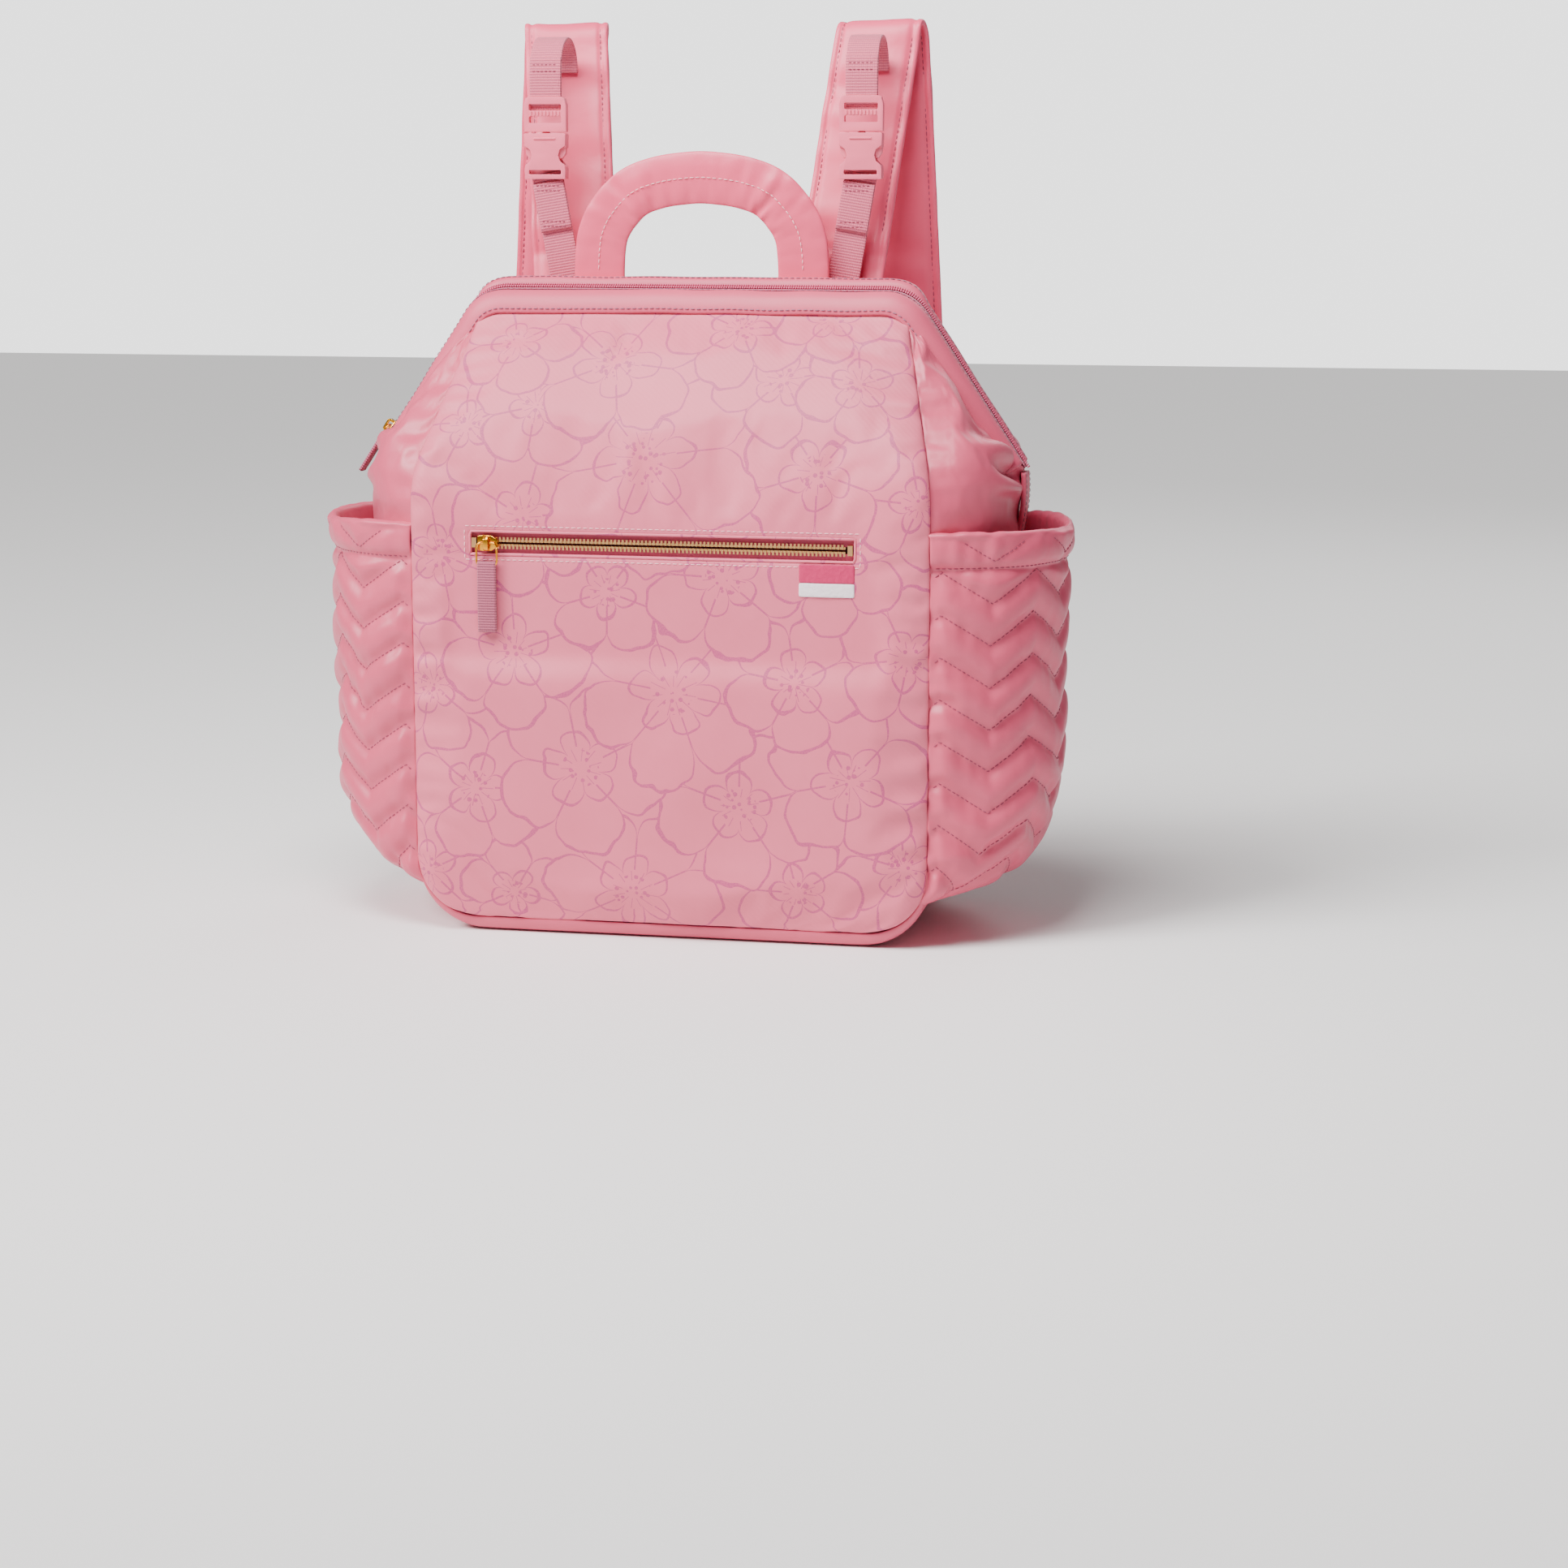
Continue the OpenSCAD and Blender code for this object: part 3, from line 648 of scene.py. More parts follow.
@dataclass(frozen=True)
class Plain:
    """Moulded, coated or metal finish with fine surface grain.

    The eye gets an even colour, a slightly uneven gloss and a faint texture.
    """

    name: str
    colour: str
    roughness: float
    metallic: float = 0.0
    grain_mm: float = 2.0
    grain: float = 0.08
    sheen: float = 0.0

    def build(self) -> bpy.types.Material:
        """Builds the node material."""
        mat, tree, skin = fresh(self.name)
        place_ = add(tree, "ShaderNodeTexCoord").outputs["Object"]
        grain = add(tree, "ShaderNodeTexNoise", {"Vector": place_, "Scale": 1000.0 / self.grain_mm,
                                                 "Detail": 3.0})
        cloud = add(tree, "ShaderNodeTexNoise", {"Vector": place_, "Scale": 40.0, "Detail": 2.0})
        tint = add(tree, "ShaderNodeHueSaturation", {"Color": linear(self.colour)})
        value = add(tree, "ShaderNodeMapRange", {"Value": cloud.outputs["Fac"], "To Min": 0.94, "To Max": 1.06})
        rough = add(tree, "ShaderNodeMapRange", {"Value": cloud.outputs["Fac"],
                                                 "To Min": max(self.roughness - 0.06, 0.05),
                                                 "To Max": self.roughness + 0.08})
        bump = add(tree, "ShaderNodeBump", {"Height": grain.outputs["Fac"], "Strength": self.grain,
                                            "Distance": 0.0004})
        tree.links.new(value.outputs["Result"], tint.inputs["Value"])
        tree.links.new(tint.outputs["Color"], skin.inputs["Base Color"])
        tree.links.new(rough.outputs["Result"], skin.inputs["Roughness"])
        tree.links.new(bump.outputs["Normal"], skin.inputs["Normal"])
        skin.inputs["Metallic"].default_value = self.metallic
        skin.inputs["Sheen Weight"].default_value = self.sheen
        return mat


@dataclass(frozen=True)
class PrintedTwill:
    """Padded polyester twill, printed with open line-drawn blossoms.

    The eye gets a matt ground with fine diagonal ribs and darker, uneven drawn lines.
    """

    name: str = "printed_twill"
    ground: str = "#e06a82"
    shade: str = "#d66079"
    ink: str = "#b03a70"
    line_mm: float = 1.15
    # Blossoms: centre across, centre up the cloth, radius, turn in degrees, petals
    blossoms: tuple[tuple[float, float, float, float, int], ...] = (
        (-150, 30, 40, 10, 5), (-96, 18, 36, 50, 5), (146, 44, 44, 15, 5), (-20, 22, 56, 5, 6),
        (82, 26, 40, 75, 5), (-118, 84, 46, 35, 5), (46, 78, 52, 20, 5), (114, 96, 50, 60, 5),
        (-52, 98, 54, 80, 5), (-146, 146, 42, 0, 5), (6, 146, 60, 40, 6), (80, 154, 44, 10, 5),
        (148, 170, 44, 65, 5), (-94, 168, 48, 15, 5), (-36, 206, 40, 55, 5), (36, 216, 52, 75, 5),
        (104, 224, 42, 25, 5), (-140, 226, 44, 50, 6), (-88, 250, 48, 30, 5), (154, 262, 40, 5, 5),
        (92, 280, 50, 55, 5), (-14, 286, 72, 20, 6), (-126, 306, 38, 80, 5), (-84, 318, 40, 60, 5),
        (66, 340, 44, 25, 5), (112, 338, 40, 10, 5), (-40, 352, 58, 45, 5), (34, 378, 46, 30, 5),
        (-104, 366, 40, 0, 5), (90, 388, 36, 15, 5),
    )

    def blossom_group(self) -> bpy.types.NodeTree:
        """Makes the node group that draws one blossom over the ink drawn so far.

        Returns:
            A group with inputs Place, Centre, Radius, Turn, Petals and Below, and output Ink.
        """
        tree = bpy.data.node_groups.new("drawn_blossom", "ShaderNodeTree")
        face = tree.interface
        for name, kind in (("Place", "NodeSocketVector"), ("Centre", "NodeSocketVector"),
                           ("Radius", "NodeSocketFloat"), ("Turn", "NodeSocketFloat"),
                           ("Petals", "NodeSocketFloat"), ("Below", "NodeSocketFloat")):
            face.new_socket(name=name, in_out="INPUT", socket_type=kind)
        face.new_socket(name="Ink", in_out="OUTPUT", socket_type="NodeSocketFloat")
        given = add(tree, "NodeGroupInput").outputs

        def calc(operation: str, *values: object) -> bpy.types.NodeSocket:
            """One arithmetic step."""
            return add(tree, "ShaderNodeMath", dict(enumerate(values)), operation=operation).outputs[0]

        away = add(tree, "ShaderNodeVectorMath", {0: given["Place"], 1: given["Centre"]}, operation="SUBTRACT")
        part = add(tree, "ShaderNodeSeparateXYZ", {0: away.outputs[0]}).outputs
        wobble = add(tree, "ShaderNodeTexNoise", {"Vector": given["Place"], "Scale": 0.05, "Detail": 1.5})
        dist = calc("SQRT", calc("ADD", calc("MULTIPLY", part[0], part[0]), calc("MULTIPLY", part[1], part[1])))
        ratio = calc("DIVIDE", dist, given["Radius"])
        ratio = calc("ADD", ratio, calc("MULTIPLY", calc("SUBTRACT", wobble.outputs["Fac"], 0.5), 0.3))
        angle = calc("ADD", calc("ARCTAN2", part[1], part[0]), given["Turn"])
        phase = calc("MULTIPLY", angle, calc("MULTIPLY", given["Petals"], 0.5))
        lobe = calc("POWER", calc("ABSOLUTE", calc("COSINE", phase)), 0.42)
        edge = calc("ADD", calc("MULTIPLY", lobe, 0.42), 0.56)
        # Drawn lines swell and thin along their length, as from a brush
        stroke = calc("DIVIDE", calc("MULTIPLY", calc("ADD", wobble.outputs["Fac"], 0.35), self.line_mm),
                      given["Radius"])
        gap = calc("ABSOLUTE", calc("SUBTRACT", ratio, edge))
        outline = calc("LESS_THAN", gap, stroke)
        inside = calc("LESS_THAN", ratio, edge)
        # Folds between petals run from the notches towards the eye
        notch = calc("MULTIPLY", calc("ABSOLUTE", calc("COSINE", phase)), ratio)
        fold = calc("MULTIPLY", calc("LESS_THAN", notch, calc("MULTIPLY", stroke, 1.5)),
                    calc("GREATER_THAN", ratio, 0.26))
        fold = calc("MULTIPLY", fold, inside)
        inner_lobe = calc("POWER", calc("ABSOLUTE", calc("SINE", phase)), 0.5)
        inner_edge = calc("ADD", calc("MULTIPLY", inner_lobe, 0.24), 0.2)
        inner = calc("LESS_THAN", calc("ABSOLUTE", calc("SUBTRACT", ratio, inner_edge)),
                     calc("MULTIPLY", stroke, 0.85))
        # Stamens: fine rays out of the eye, and a crowd of uneven dots
        rays = calc("LESS_THAN", calc("ABSOLUTE", calc("SINE", calc("MULTIPLY", angle, 5.5))),
                    calc("DIVIDE", calc("MULTIPLY", stroke, 1.3), calc("MAXIMUM", ratio, 0.02)))
        rays = calc("MULTIPLY", rays, calc("LESS_THAN", calc("ABSOLUTE", calc("SUBTRACT", ratio, 0.17)), 0.07))
        dots = add(tree, "ShaderNodeTexVoronoi", {"Vector": given["Place"], "Scale": 0.24})
        reach = calc("MULTIPLY", calc("ADD", wobble.outputs["Fac"], 0.1), 0.36)
        dot = calc("MULTIPLY", calc("LESS_THAN", dots.outputs["Distance"], 0.33), calc("LESS_THAN", ratio, reach))
        ink = calc("MAXIMUM", calc("MAXIMUM", outline, fold), calc("MAXIMUM", inner, calc("MAXIMUM", rays, dot)))
        shown = calc("MAXIMUM", ink, calc("MULTIPLY", given["Below"], calc("SUBTRACT", 1.0, inside)))
        add(tree, "NodeGroupOutput", {"Ink": shown})
        return tree

    def build(self) -> bpy.types.Material:
        """Builds the node material."""
        mat, tree, skin = fresh(self.name)
        flat = add(tree, "ShaderNodeAttribute", attribute_name="cloth_mm").outputs["Vector"]
        group = self.blossom_group()
        ink: object = 0.0
        for cx, cy, radius, turn, petals in self.blossoms:
            step = add(tree, "ShaderNodeGroup", node_tree=group)
            tree.links.new(flat, step.inputs["Place"])
            step.inputs["Centre"].default_value = (cx, cy, 0)
            step.inputs["Radius"].default_value = radius
            step.inputs["Turn"].default_value = math.radians(turn)
            step.inputs["Petals"].default_value = petals
            if isinstance(ink, bpy.types.NodeSocket):
                tree.links.new(ink, step.inputs["Below"])
            ink = step.outputs["Ink"]
        cloud = add(tree, "ShaderNodeTexNoise", {"Vector": flat, "Scale": 0.02, "Detail": 3.0})
        ground = add(tree, "ShaderNodeMix", {0: cloud.outputs["Fac"], 6: linear(self.shade),
                                             7: linear(self.ground)}, data_type="RGBA")
        # Ink sits unevenly on the ribs, so a fine speckle breaks the lines
        speck = add(tree, "ShaderNodeTexNoise", {"Vector": flat, "Scale": 1.1, "Detail": 2.0})
        cover = add(tree, "ShaderNodeMapRange", {"Value": speck.outputs["Fac"], "From Min": 0.3,
                                                 "From Max": 0.6, "To Min": 0.5, "To Max": 0.95})
        amount = add(tree, "ShaderNodeMath", {0: ink, 1: cover.outputs["Result"]}, operation="MULTIPLY")
        tint = add(tree, "ShaderNodeMix", {0: amount.outputs[0], 6: ground.outputs[2], 7: linear(self.ink)},
                   data_type="RGBA")
        # Twill ribs are about 0.4 mm apart; they are drawn at 1 mm so that they show
        twill = add(tree, "ShaderNodeTexWave", {"Vector": flat, "Scale": 1.0 / 1.0 / 6.3, "Distortion": 0.3},
                    bands_direction="DIAGONAL")
        rumple = add(tree, "ShaderNodeTexNoise", {"Vector": flat, "Scale": 0.035, "Detail": 3.0})
        low = add(tree, "ShaderNodeBump", {"Height": rumple.outputs["Fac"], "Strength": 0.28,
                                           "Distance": 0.003})
        fine = add(tree, "ShaderNodeBump", {"Height": twill.outputs["Fac"], "Strength": 0.12,
                                            "Distance": 0.0003, "Normal": low.outputs["Normal"]})
        tree.links.new(tint.outputs[2], skin.inputs["Base Color"])
        tree.links.new(fine.outputs["Normal"], skin.inputs["Normal"])
        skin.inputs["Roughness"].default_value = 0.55
        skin.inputs["Sheen Weight"].default_value = 0.12
        skin.inputs["Sheen Roughness"].default_value = 0.5
        skin.inputs["Sheen Tint"].default_value = linear("#ffc4cc")
        return mat


@dataclass
class Finishes:
    """Every material of the bag, built once."""

    print: bpy.types.Material = field(default_factory=lambda: PrintedTwill().build())
    satin: bpy.types.Material = field(
        default_factory=lambda: Satin("calendered_satin", "#d55571", "#c84865").build())
    strap: bpy.types.Material = field(
        default_factory=lambda: Satin("padded_strap_satin", "#ea5275", "#df496b", 0.42, 0.12, 30.0).build())
    coated: bpy.types.Material = field(
        default_factory=lambda: Plain("coated_band_cloth", "#cf4c6a", 0.5, 0.0, 0.8, 0.1, 0.08).build())
    # The second colour of the ribbed tape, webbing and ribbon is painted shade for the gaps between their ribs
    tape: bpy.types.Material = field(
        default_factory=lambda: Ribbed("woven_zip_tape", "#d2607e", "#b24766", 1.2, 0.7).build())
    coil: bpy.types.Material = field(
        default_factory=lambda: Plain("nylon_coil", "#c4476c", 0.4, 0.0, 1.0, 0.05).build())
    webbing: bpy.types.Material = field(
        default_factory=lambda: Ribbed("ribbed_webbing", "#e0677f", "#b84d69", 1.7, 0.65).build())
    ribbon: bpy.types.Material = field(
        default_factory=lambda: Ribbed("grosgrain_ribbon", "#c25c77", "#853a50", 1.6, 0.7).build())
    resin: bpy.types.Material = field(
        default_factory=lambda: Plain("moulded_acetal", "#ea6a83", 0.34, 0.0, 1.2, 0.06).build())
    gold: bpy.types.Material = field(
        default_factory=lambda: Plain("gold_plated_zinc", "#e6a02a", 0.2, 1.0, 3.0, 0.03).build())
    teeth: bpy.types.Material = field(
        default_factory=lambda: Plain("pale_gilt_teeth", "#e6b076", 0.28, 1.0, 3.0, 0.03).build())
    thread: bpy.types.Material = field(
        default_factory=lambda: Plain("pale_polyester_thread", "#f9b4be", 0.55, 0.0, 0.6, 0.2, 0.3).build())
    band_thread: bpy.types.Material = field(
        default_factory=lambda: Plain("mauve_polyester_thread", "#8f5a70", 0.55, 0.0, 0.6, 0.2, 0.2).build())
    dark_thread: bpy.types.Material = field(
        default_factory=lambda: Plain("rose_polyester_thread", "#8f2c4b", 0.55, 0.0, 0.6, 0.2, 0.2).build())
    label_top: bpy.types.Material = field(
        default_factory=lambda: Satin("woven_label_magenta", "#c8175b", "#b81452", 0.55, 0.2, 3.0, 0.2).build())
    label_foot: bpy.types.Material = field(
        default_factory=lambda: Satin("woven_label_white", "#f0e6ea", "#e8dade", 0.6, 0.2, 3.0, 0.2).build())
    steel: bpy.types.Material = field(
        default_factory=lambda: Plain("drawn_spring_wire", "#a9abaf", 0.3, 1.0, 2.0, 0.05).build())
    foam: bpy.types.Material = field(
        default_factory=lambda: Plain("foam_sheet", "#e9e4df", 0.9, 0.0, 1.5, 0.5).build())
    board: bpy.types.Material = field(
        default_factory=lambda: Plain("stiffener_board", "#4a4a4c", 0.7, 0.0, 1.5, 0.2).build())


# ---------------------------------------------------------------- the bag's measures


@dataclass(frozen=True)
class Measures:
    """The bag's driving sizes, read from the CAD nodes, in millimetres."""

    half_w: float
    front_y: float
    back_y: float
    crease_z: float
    gusset_x: float
    frame_z: float
    foot_x: float
    top_x: float
    pocket_x: float
    rim_z: float
    slot_low: Array
    slot_high: Array
    corner_r: float = 42.0
    hoop_r: float = 32.0

    @classmethod
    def from_frame(cls) -> "Measures":
        """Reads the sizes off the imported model."""
        panel_low, panel_high = corners("front_panel")
        tape_low, tape_high = corners("pocket_zip_tape")
        band_high = corners("rear_frame_band")[1]
        zip_high = corners("main_zip_rear")[1]
        rise = (zip_high[2] - 0.4 - panel_high[2])
        foot_x = 210.0
        return cls(
            half_w=panel_high[0], front_y=-panel_low[1], back_y=corners("back_panel")[1][1],
            crease_z=panel_high[2], gusset_x=corners("gusset_right")[1][0], frame_z=band_high[2],
            foot_x=foot_x, top_x=foot_x - 73.0 * rise / 110.0, pocket_x=corners("side_pocket_right")[1][0],
            rim_z=corners("side_pocket_right")[1][2],
            slot_low=np.array([tape_low[0] + 6, tape_low[2] + 6.2]),
            slot_high=np.array([tape_high[0] - 6, tape_high[2] - 6.2]))

    def hoop(self, out: float, y: float, foot: float, step: float = 3.0) -> tuple[Array, Array]:
        """Path along the frame's hoop from the left foot to the right foot.

        Args:
            out: distance outside the frame line.
            y: depth of the path.
            foot: height of both ends.
            step: distance between points.
        Returns:
            The points and the outward direction at each.
        """
        tilt = math.atan2(self.foot_x - self.top_x, self.frame_z - self.crease_z)
        turn = math.pi / 2 - tilt
        cx = self.top_x - self.hoop_r * math.tan(turn / 2)
        cz = self.frame_z - self.hoop_r
        r = self.hoop_r + out
        arc = [(cx + r * math.cos(a), cz + r * math.sin(a)) for a in np.linspace(tilt, math.pi / 2, 14)]
        start_z = arc[0][1]
        foot_pt = (arc[0][0] + (start_z - foot) * math.tan(tilt), foot)
        right = [foot_pt, *arc]
        pts = np.array([(-x, z) for x, z in right] + right[::-1])
        flat = polyline(pts, step)
        path = np.stack([flat[:, 0], np.full(len(flat), y), flat[:, 1]], axis=1)
        go = unit(np.gradient(path, axis=0))
        outward = np.cross(go, np.array([0.0, -1.0, 0.0]))
        outward = outward * np.sign(outward[:, 2:3] + 1e-9)
        return path, outward


# ---------------------------------------------------------------- sub-assemblies


@dataclass
class FrontCloth:
    """Printed front panel: one padded cloth from the base seam up to the frame band."""

    size: Measures
    step: float = 4.2
    seam_z: float = 9.0
    seam_r: float = 38.0
    top_half: float = 134.0
    top_y: float = -14.0
    top_z: float = 383.5
    sheet: GridSheet | None = None

    def half_width(self, z: Array, y: Array) -> Array:
        """Half the panel's width at a height, round lower corners included."""
        m = self.size
        low = np.clip(self.seam_r - (z - self.seam_z), 0, self.seam_r)
        corner = m.half_w - self.seam_r + np.sqrt(self.seam_r ** 2 - low ** 2)
        up = np.clip((z - m.crease_z + 16) / (self.top_z - m.crease_z + 16), 0, 1)
        lean = np.where(up < 0.25, up * up * 2.0, 0.125 + (up - 0.25) * (1 - 0.125) / 0.75)
        return corner - (m.half_w - self.top_half) * lean

    def build(self, fin: Finishes) -> None:
        """Builds the cloth and its seams."""
        m = self.size
        side = polyline(np.array([[-m.front_y, self.seam_z], [-m.front_y, m.crease_z],
                                  [self.top_y, self.top_z]]), self.step, 44.0)
        rows_z = side[:, 1].copy()
        rows_z = snapped(rows_z, [m.slot_low[1], m.slot_high[1]])
        rows_y = side[:, 0]
        share = snapped(np.linspace(-1, 1, 78), [m.slot_low[0] / m.half_w, m.slot_high[0] / m.half_w])
        half = self.half_width(rows_z, rows_y)
        x = half[:, None] * share[None, :]
        z = np.repeat(rows_z[:, None], len(share), axis=1)
        y = np.repeat(rows_y[:, None], len(share), axis=1)
        arc = np.concatenate([[0], np.cumsum(np.linalg.norm(np.diff(np.stack([rows_y, rows_z], 1), axis=0),
                                                            axis=1))])
        flat = np.stack([x, np.repeat(arc[:, None], len(share), axis=1)], axis=-1)
        self.sheet = GridSheet("front_cloth", np.stack([x, y, z], -1), flat, np.array([0.0, -1.0, 0.3]))
        edge = np.maximum(np.minimum(half[:, None] - np.abs(x), z - self.seam_z), 0)
        below_top = np.repeat((arc[-1] - arc)[:, None], len(share), axis=1)
        held = np.where((edge < 0.5) | (below_top < 9), 1.0, 0.0)
        near_slot = ((x > m.slot_low[0] - 4) & (x < m.slot_high[0] + 4)
                     & (z > m.slot_low[1] - 4) & (z < m.slot_high[1] + 4))
        held = np.where(near_slot, 1.0, held)
        # Seams pull the padding in; short puckers run in from them
        along_side = arc[:, None] + 0 * x
        pucker = waves(along_side, x * 0.12, 15, 3) * np.exp(-edge / 17) * 3.0
        pucker = pucker + waves(x * 0.2, z, 16, 4) * np.exp(-np.abs(z - self.seam_z) / 18) * 1.3
        pucker = pucker + waves(x, z, 95, 5) * 1.4 * np.clip(edge / 30, 0, 1)
        dip = -3.2 * np.exp(-edge / 6.0)
        # Below the zip the cloth stays flat, so that the pull and the label lie on it
        aside = np.maximum(np.maximum(m.slot_low[0] - 6 - x, x - m.slot_high[0] - 8), 0)
        beneath = np.maximum(np.maximum(m.slot_low[1] - 56 - z, z - m.slot_high[1] - 5), 0)
        quiet = np.where(near_slot, 0.0, 1 - 0.85 * np.exp(-(np.hypot(aside, beneath) / 12) ** 2))
        tuck_in = np.clip(below_top / 16, 0, 1)
        self.sheet.push((pucker * quiet * np.clip(edge / 3, 0, 1) + dip) * tuck_in)
        self.sheet.settle(held, 2.5, 0.012, 6.5 * quiet ** 2 + 0.5, 14)
        self.sheet.cut = [(i, j) for i in range(z.shape[0] - 1) for j in range(z.shape[1] - 1)
                          if m.slot_low[0] - 0.1 <= x[i, j] and x[i, j + 1] <= m.slot_high[0] + 0.1
                          and m.slot_low[1] - 0.1 <= z[i, j] and z[i + 1, j] <= m.slot_high[1] + 0.1]
        cloth = self.sheet.build(2.4)
        place(cloth, fin.print, None, ["front_panel", "front_panel_upper"])
        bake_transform(cloth)
        LOG.info("front cloth: %d points", x.size)

    def welt_runs(self) -> list[tuple[Array, Array]]:
        """Stitch rectangle round the zip opening, on the cloth's face."""
        m = self.size
        grid = self.sheet.points
        rows = np.arange(grid.shape[0])
        mid = grid.shape[1] // 2
        lo, hi = m.slot_low - 3.2, m.slot_high + 3.2
        row_of = lambda zz: float(np.interp(zz, grid[:, mid, 2], rows))
        row_mid = int(row_of((lo[1] + hi[1]) / 2))
        col_of = lambda xx: np.interp(xx, grid[row_mid, :, 0], np.arange(grid.shape[1]))
        xs = np.linspace(lo[0], hi[0], 90)
        zs = np.linspace(lo[1], hi[1], 8)
        runs = []
        for zz in (lo[1], hi[1]):
            runs.append(self.sheet.at(np.full(len(xs), row_of(zz)), col_of(xs)))
        for xx in (lo[0], hi[0]):
            runs.append(self.sheet.at(np.array([row_of(v) for v in zs]), np.full(len(zs), float(col_of(xx)))))
        return runs


@dataclass
class BodyShell:
    """Satin parts of the body: side gussets, upper gusset quarters, back, base."""

    size: Measures
    front: FrontCloth
    step: float = 4.5
    arm_reach: float = 118.0
    back_sheet: GridSheet | None = None

    def gusset_half(self, side: Side, front: bool, fin: Finishes) -> None:
        """Front or rear half of a side gusset, one cloth from the base up to a frame band."""
        m = self.size
        s = side.value
        f = -1 if front else 1
        source = self.front.sheet if front else self.back_sheet
        rim = source.points[:, -1 if s > 0 else 0] * [s, 1, 1]
        band_y = 15.0 if front else 18.5
        mid_y = (m.back_y - m.front_y) / 2
        half = (m.back_y + m.front_y) / 2 - 2.5
        depth = m.gusset_x - m.half_w
        radius = (half ** 2 + depth ** 2) / (2 * depth)
        z_low = np.linspace(m.corner_r - 2, m.crease_z, 46)
        low_count = len(z_low)
        t = np.linspace(0, 1, 36)[1:]
        z_seam = np.concatenate([z_low, m.crease_z + (rim[:, 2].max() - m.crease_z) * t])
        seam = np.stack([np.interp(z_seam, rim[:, 2], rim[:, k]) for k in range(3)], axis=1)
        seam = seam + np.array([-0.8, -0.9 * f, 0.0])
        u = np.linspace(0, 1, 40)
        psi = (1 - u) * math.asin(half / radius) * f
        swell = np.sqrt(np.clip(1 - (np.clip(88 - z_low, 0, 46) / 46) ** 2, 0, 1))
        bulge = (radius * np.cos(psi) - (radius - depth))[None, :] * swell[:, None]
        low = np.stack([m.half_w - 1 + bulge, np.tile(mid_y + radius * np.sin(psi), (low_count, 1)),
                        np.repeat(z_low[:, None], len(u), axis=1)], axis=-1)
        low = low + (seam[:low_count] - low[:, 0])[:, None, :] * ((1 - u) ** 4)[None, :, None]
        hoop, _ = m.hoop(-11.0, 0.0, m.crease_z - 2, 2.0)
        right = hoop[hoop[:, 0] > 0][::-1]
        dist = np.concatenate([[0], np.cumsum(np.linalg.norm(np.diff(right, axis=0), axis=1))])
        line = np.stack([np.interp(t * self.arm_reach, dist, right[:, k]) for k in range(3)], axis=1)
        line[:, 1] = mid_y + (f * band_y - mid_y) * smooth_step(t, 0, 0.13)
        # Near the zip's foot the cloth fills the mouth right up behind the end tab
        line[:, 0] += 6.5 * (1 - smooth_step(t, 0.02, 0.2))
        upper = seam[low_count:, None, :] * (1 - u)[None, :, None] + line[:, None, :] * u[None, :, None]
        foot = np.array([right[0, 0], mid_y, right[0, 2]])
        flat_foot = seam[low_count - 1][None, :] * (1 - u)[:, None] + foot[None, :] * u[:, None]
        upper = upper + (low[-1] - flat_foot)[None, :, :] * ((1 - t) ** 1.3)[:, None, None]
        pts = np.concatenate([low, upper])
        near_crease = np.exp(-((np.arange(len(pts)) - low_count) / 5.0) ** 2)[:, None, None]
        for _ in range(10):
            mean = 0.5 * pts[1:-1, 1:-1] + 0.25 * (pts[:-2, 1:-1] + pts[2:, 1:-1])
            pts[1:-1, 1:-1] += (mean - pts[1:-1, 1:-1]) * near_crease[1:-1]
        pts[..., 0] *= s
        wide = np.linalg.norm(pts[:, -1] - pts[:, 0], axis=1)
        rise = np.concatenate([z_low, m.crease_z + t * 125])
        flat = np.stack([u[None, :] * wide[:, None], np.repeat(rise[:, None], len(u), axis=1)], axis=-1)
        sheet = GridSheet(f"gusset_{'front' if front else 'rear'}_{side.word}", pts, flat,
                          np.array([float(s), 0.6 * f, 0.3]))
        sheet.push(self.gusset_relief(sheet.flat[..., 1], u, s, f))
        held = np.zeros(pts.shape[:2])
        held[:, 0] = held[:, -1] = 1.0
        held[-1] = 1.0
        held[rise < 236] = 1.0
        sheet.settle(held, 2.2, 0.022, 4.0, 14)
        obj = sheet.build(1.6)
        if front:
            place(obj, fin.satin, None, [f"upper_gusset_front_{side.word}"])
            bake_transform(obj)
        else:
            place(obj, fin.satin, "bag", [f"gusset_{side.word}", f"upper_gusset_rear_{side.word}"])

    def gusset_relief(self, rise: Array, u: Array, s: int, f: int) -> Array:
        """Bulge, tucks and puckers of a gusset half.

        Args:
            rise: height up the cloth of each point, mm.
            u: 0 at the panel seam to 1 at the band.
            s: side of the bag, -1 or 1.
            f: -1 in front, 1 behind.
        Returns:
            Height over the smooth shape, mm.
        """
        uu = np.tile(u, (rise.shape[0], 1))
        up = rise - self.size.crease_z
        t = np.clip(up / 125, 0, 1)
        body = np.sin(math.pi * uu) ** 0.7 * smooth_step(rise, 240, 300) * np.sin(math.pi * np.clip(t * 0.85 + 0.15, 0, 1)) ** 0.5
        height = 5.0 * body - 0.8
        amount = 1.0 if f < 0 else 0.55
        reach = smooth_step(uu, 0.38, 0.75) * smooth_step(1 - uu, 0, 0.08)
        # A deep tuck runs from the arm's foot towards the seam, with a ridge on each side of it
        off = up - 3 - 14 * (1 - uu)
        height -= 10.0 * amount * np.exp(-(off / 5.0) ** 2) * reach
        height += 5.0 * amount * np.exp(-((off - 14) / 8.0) ** 2) * reach
        height += 3.5 * amount * np.exp(-((off + 12) / 6.0) ** 2) * reach
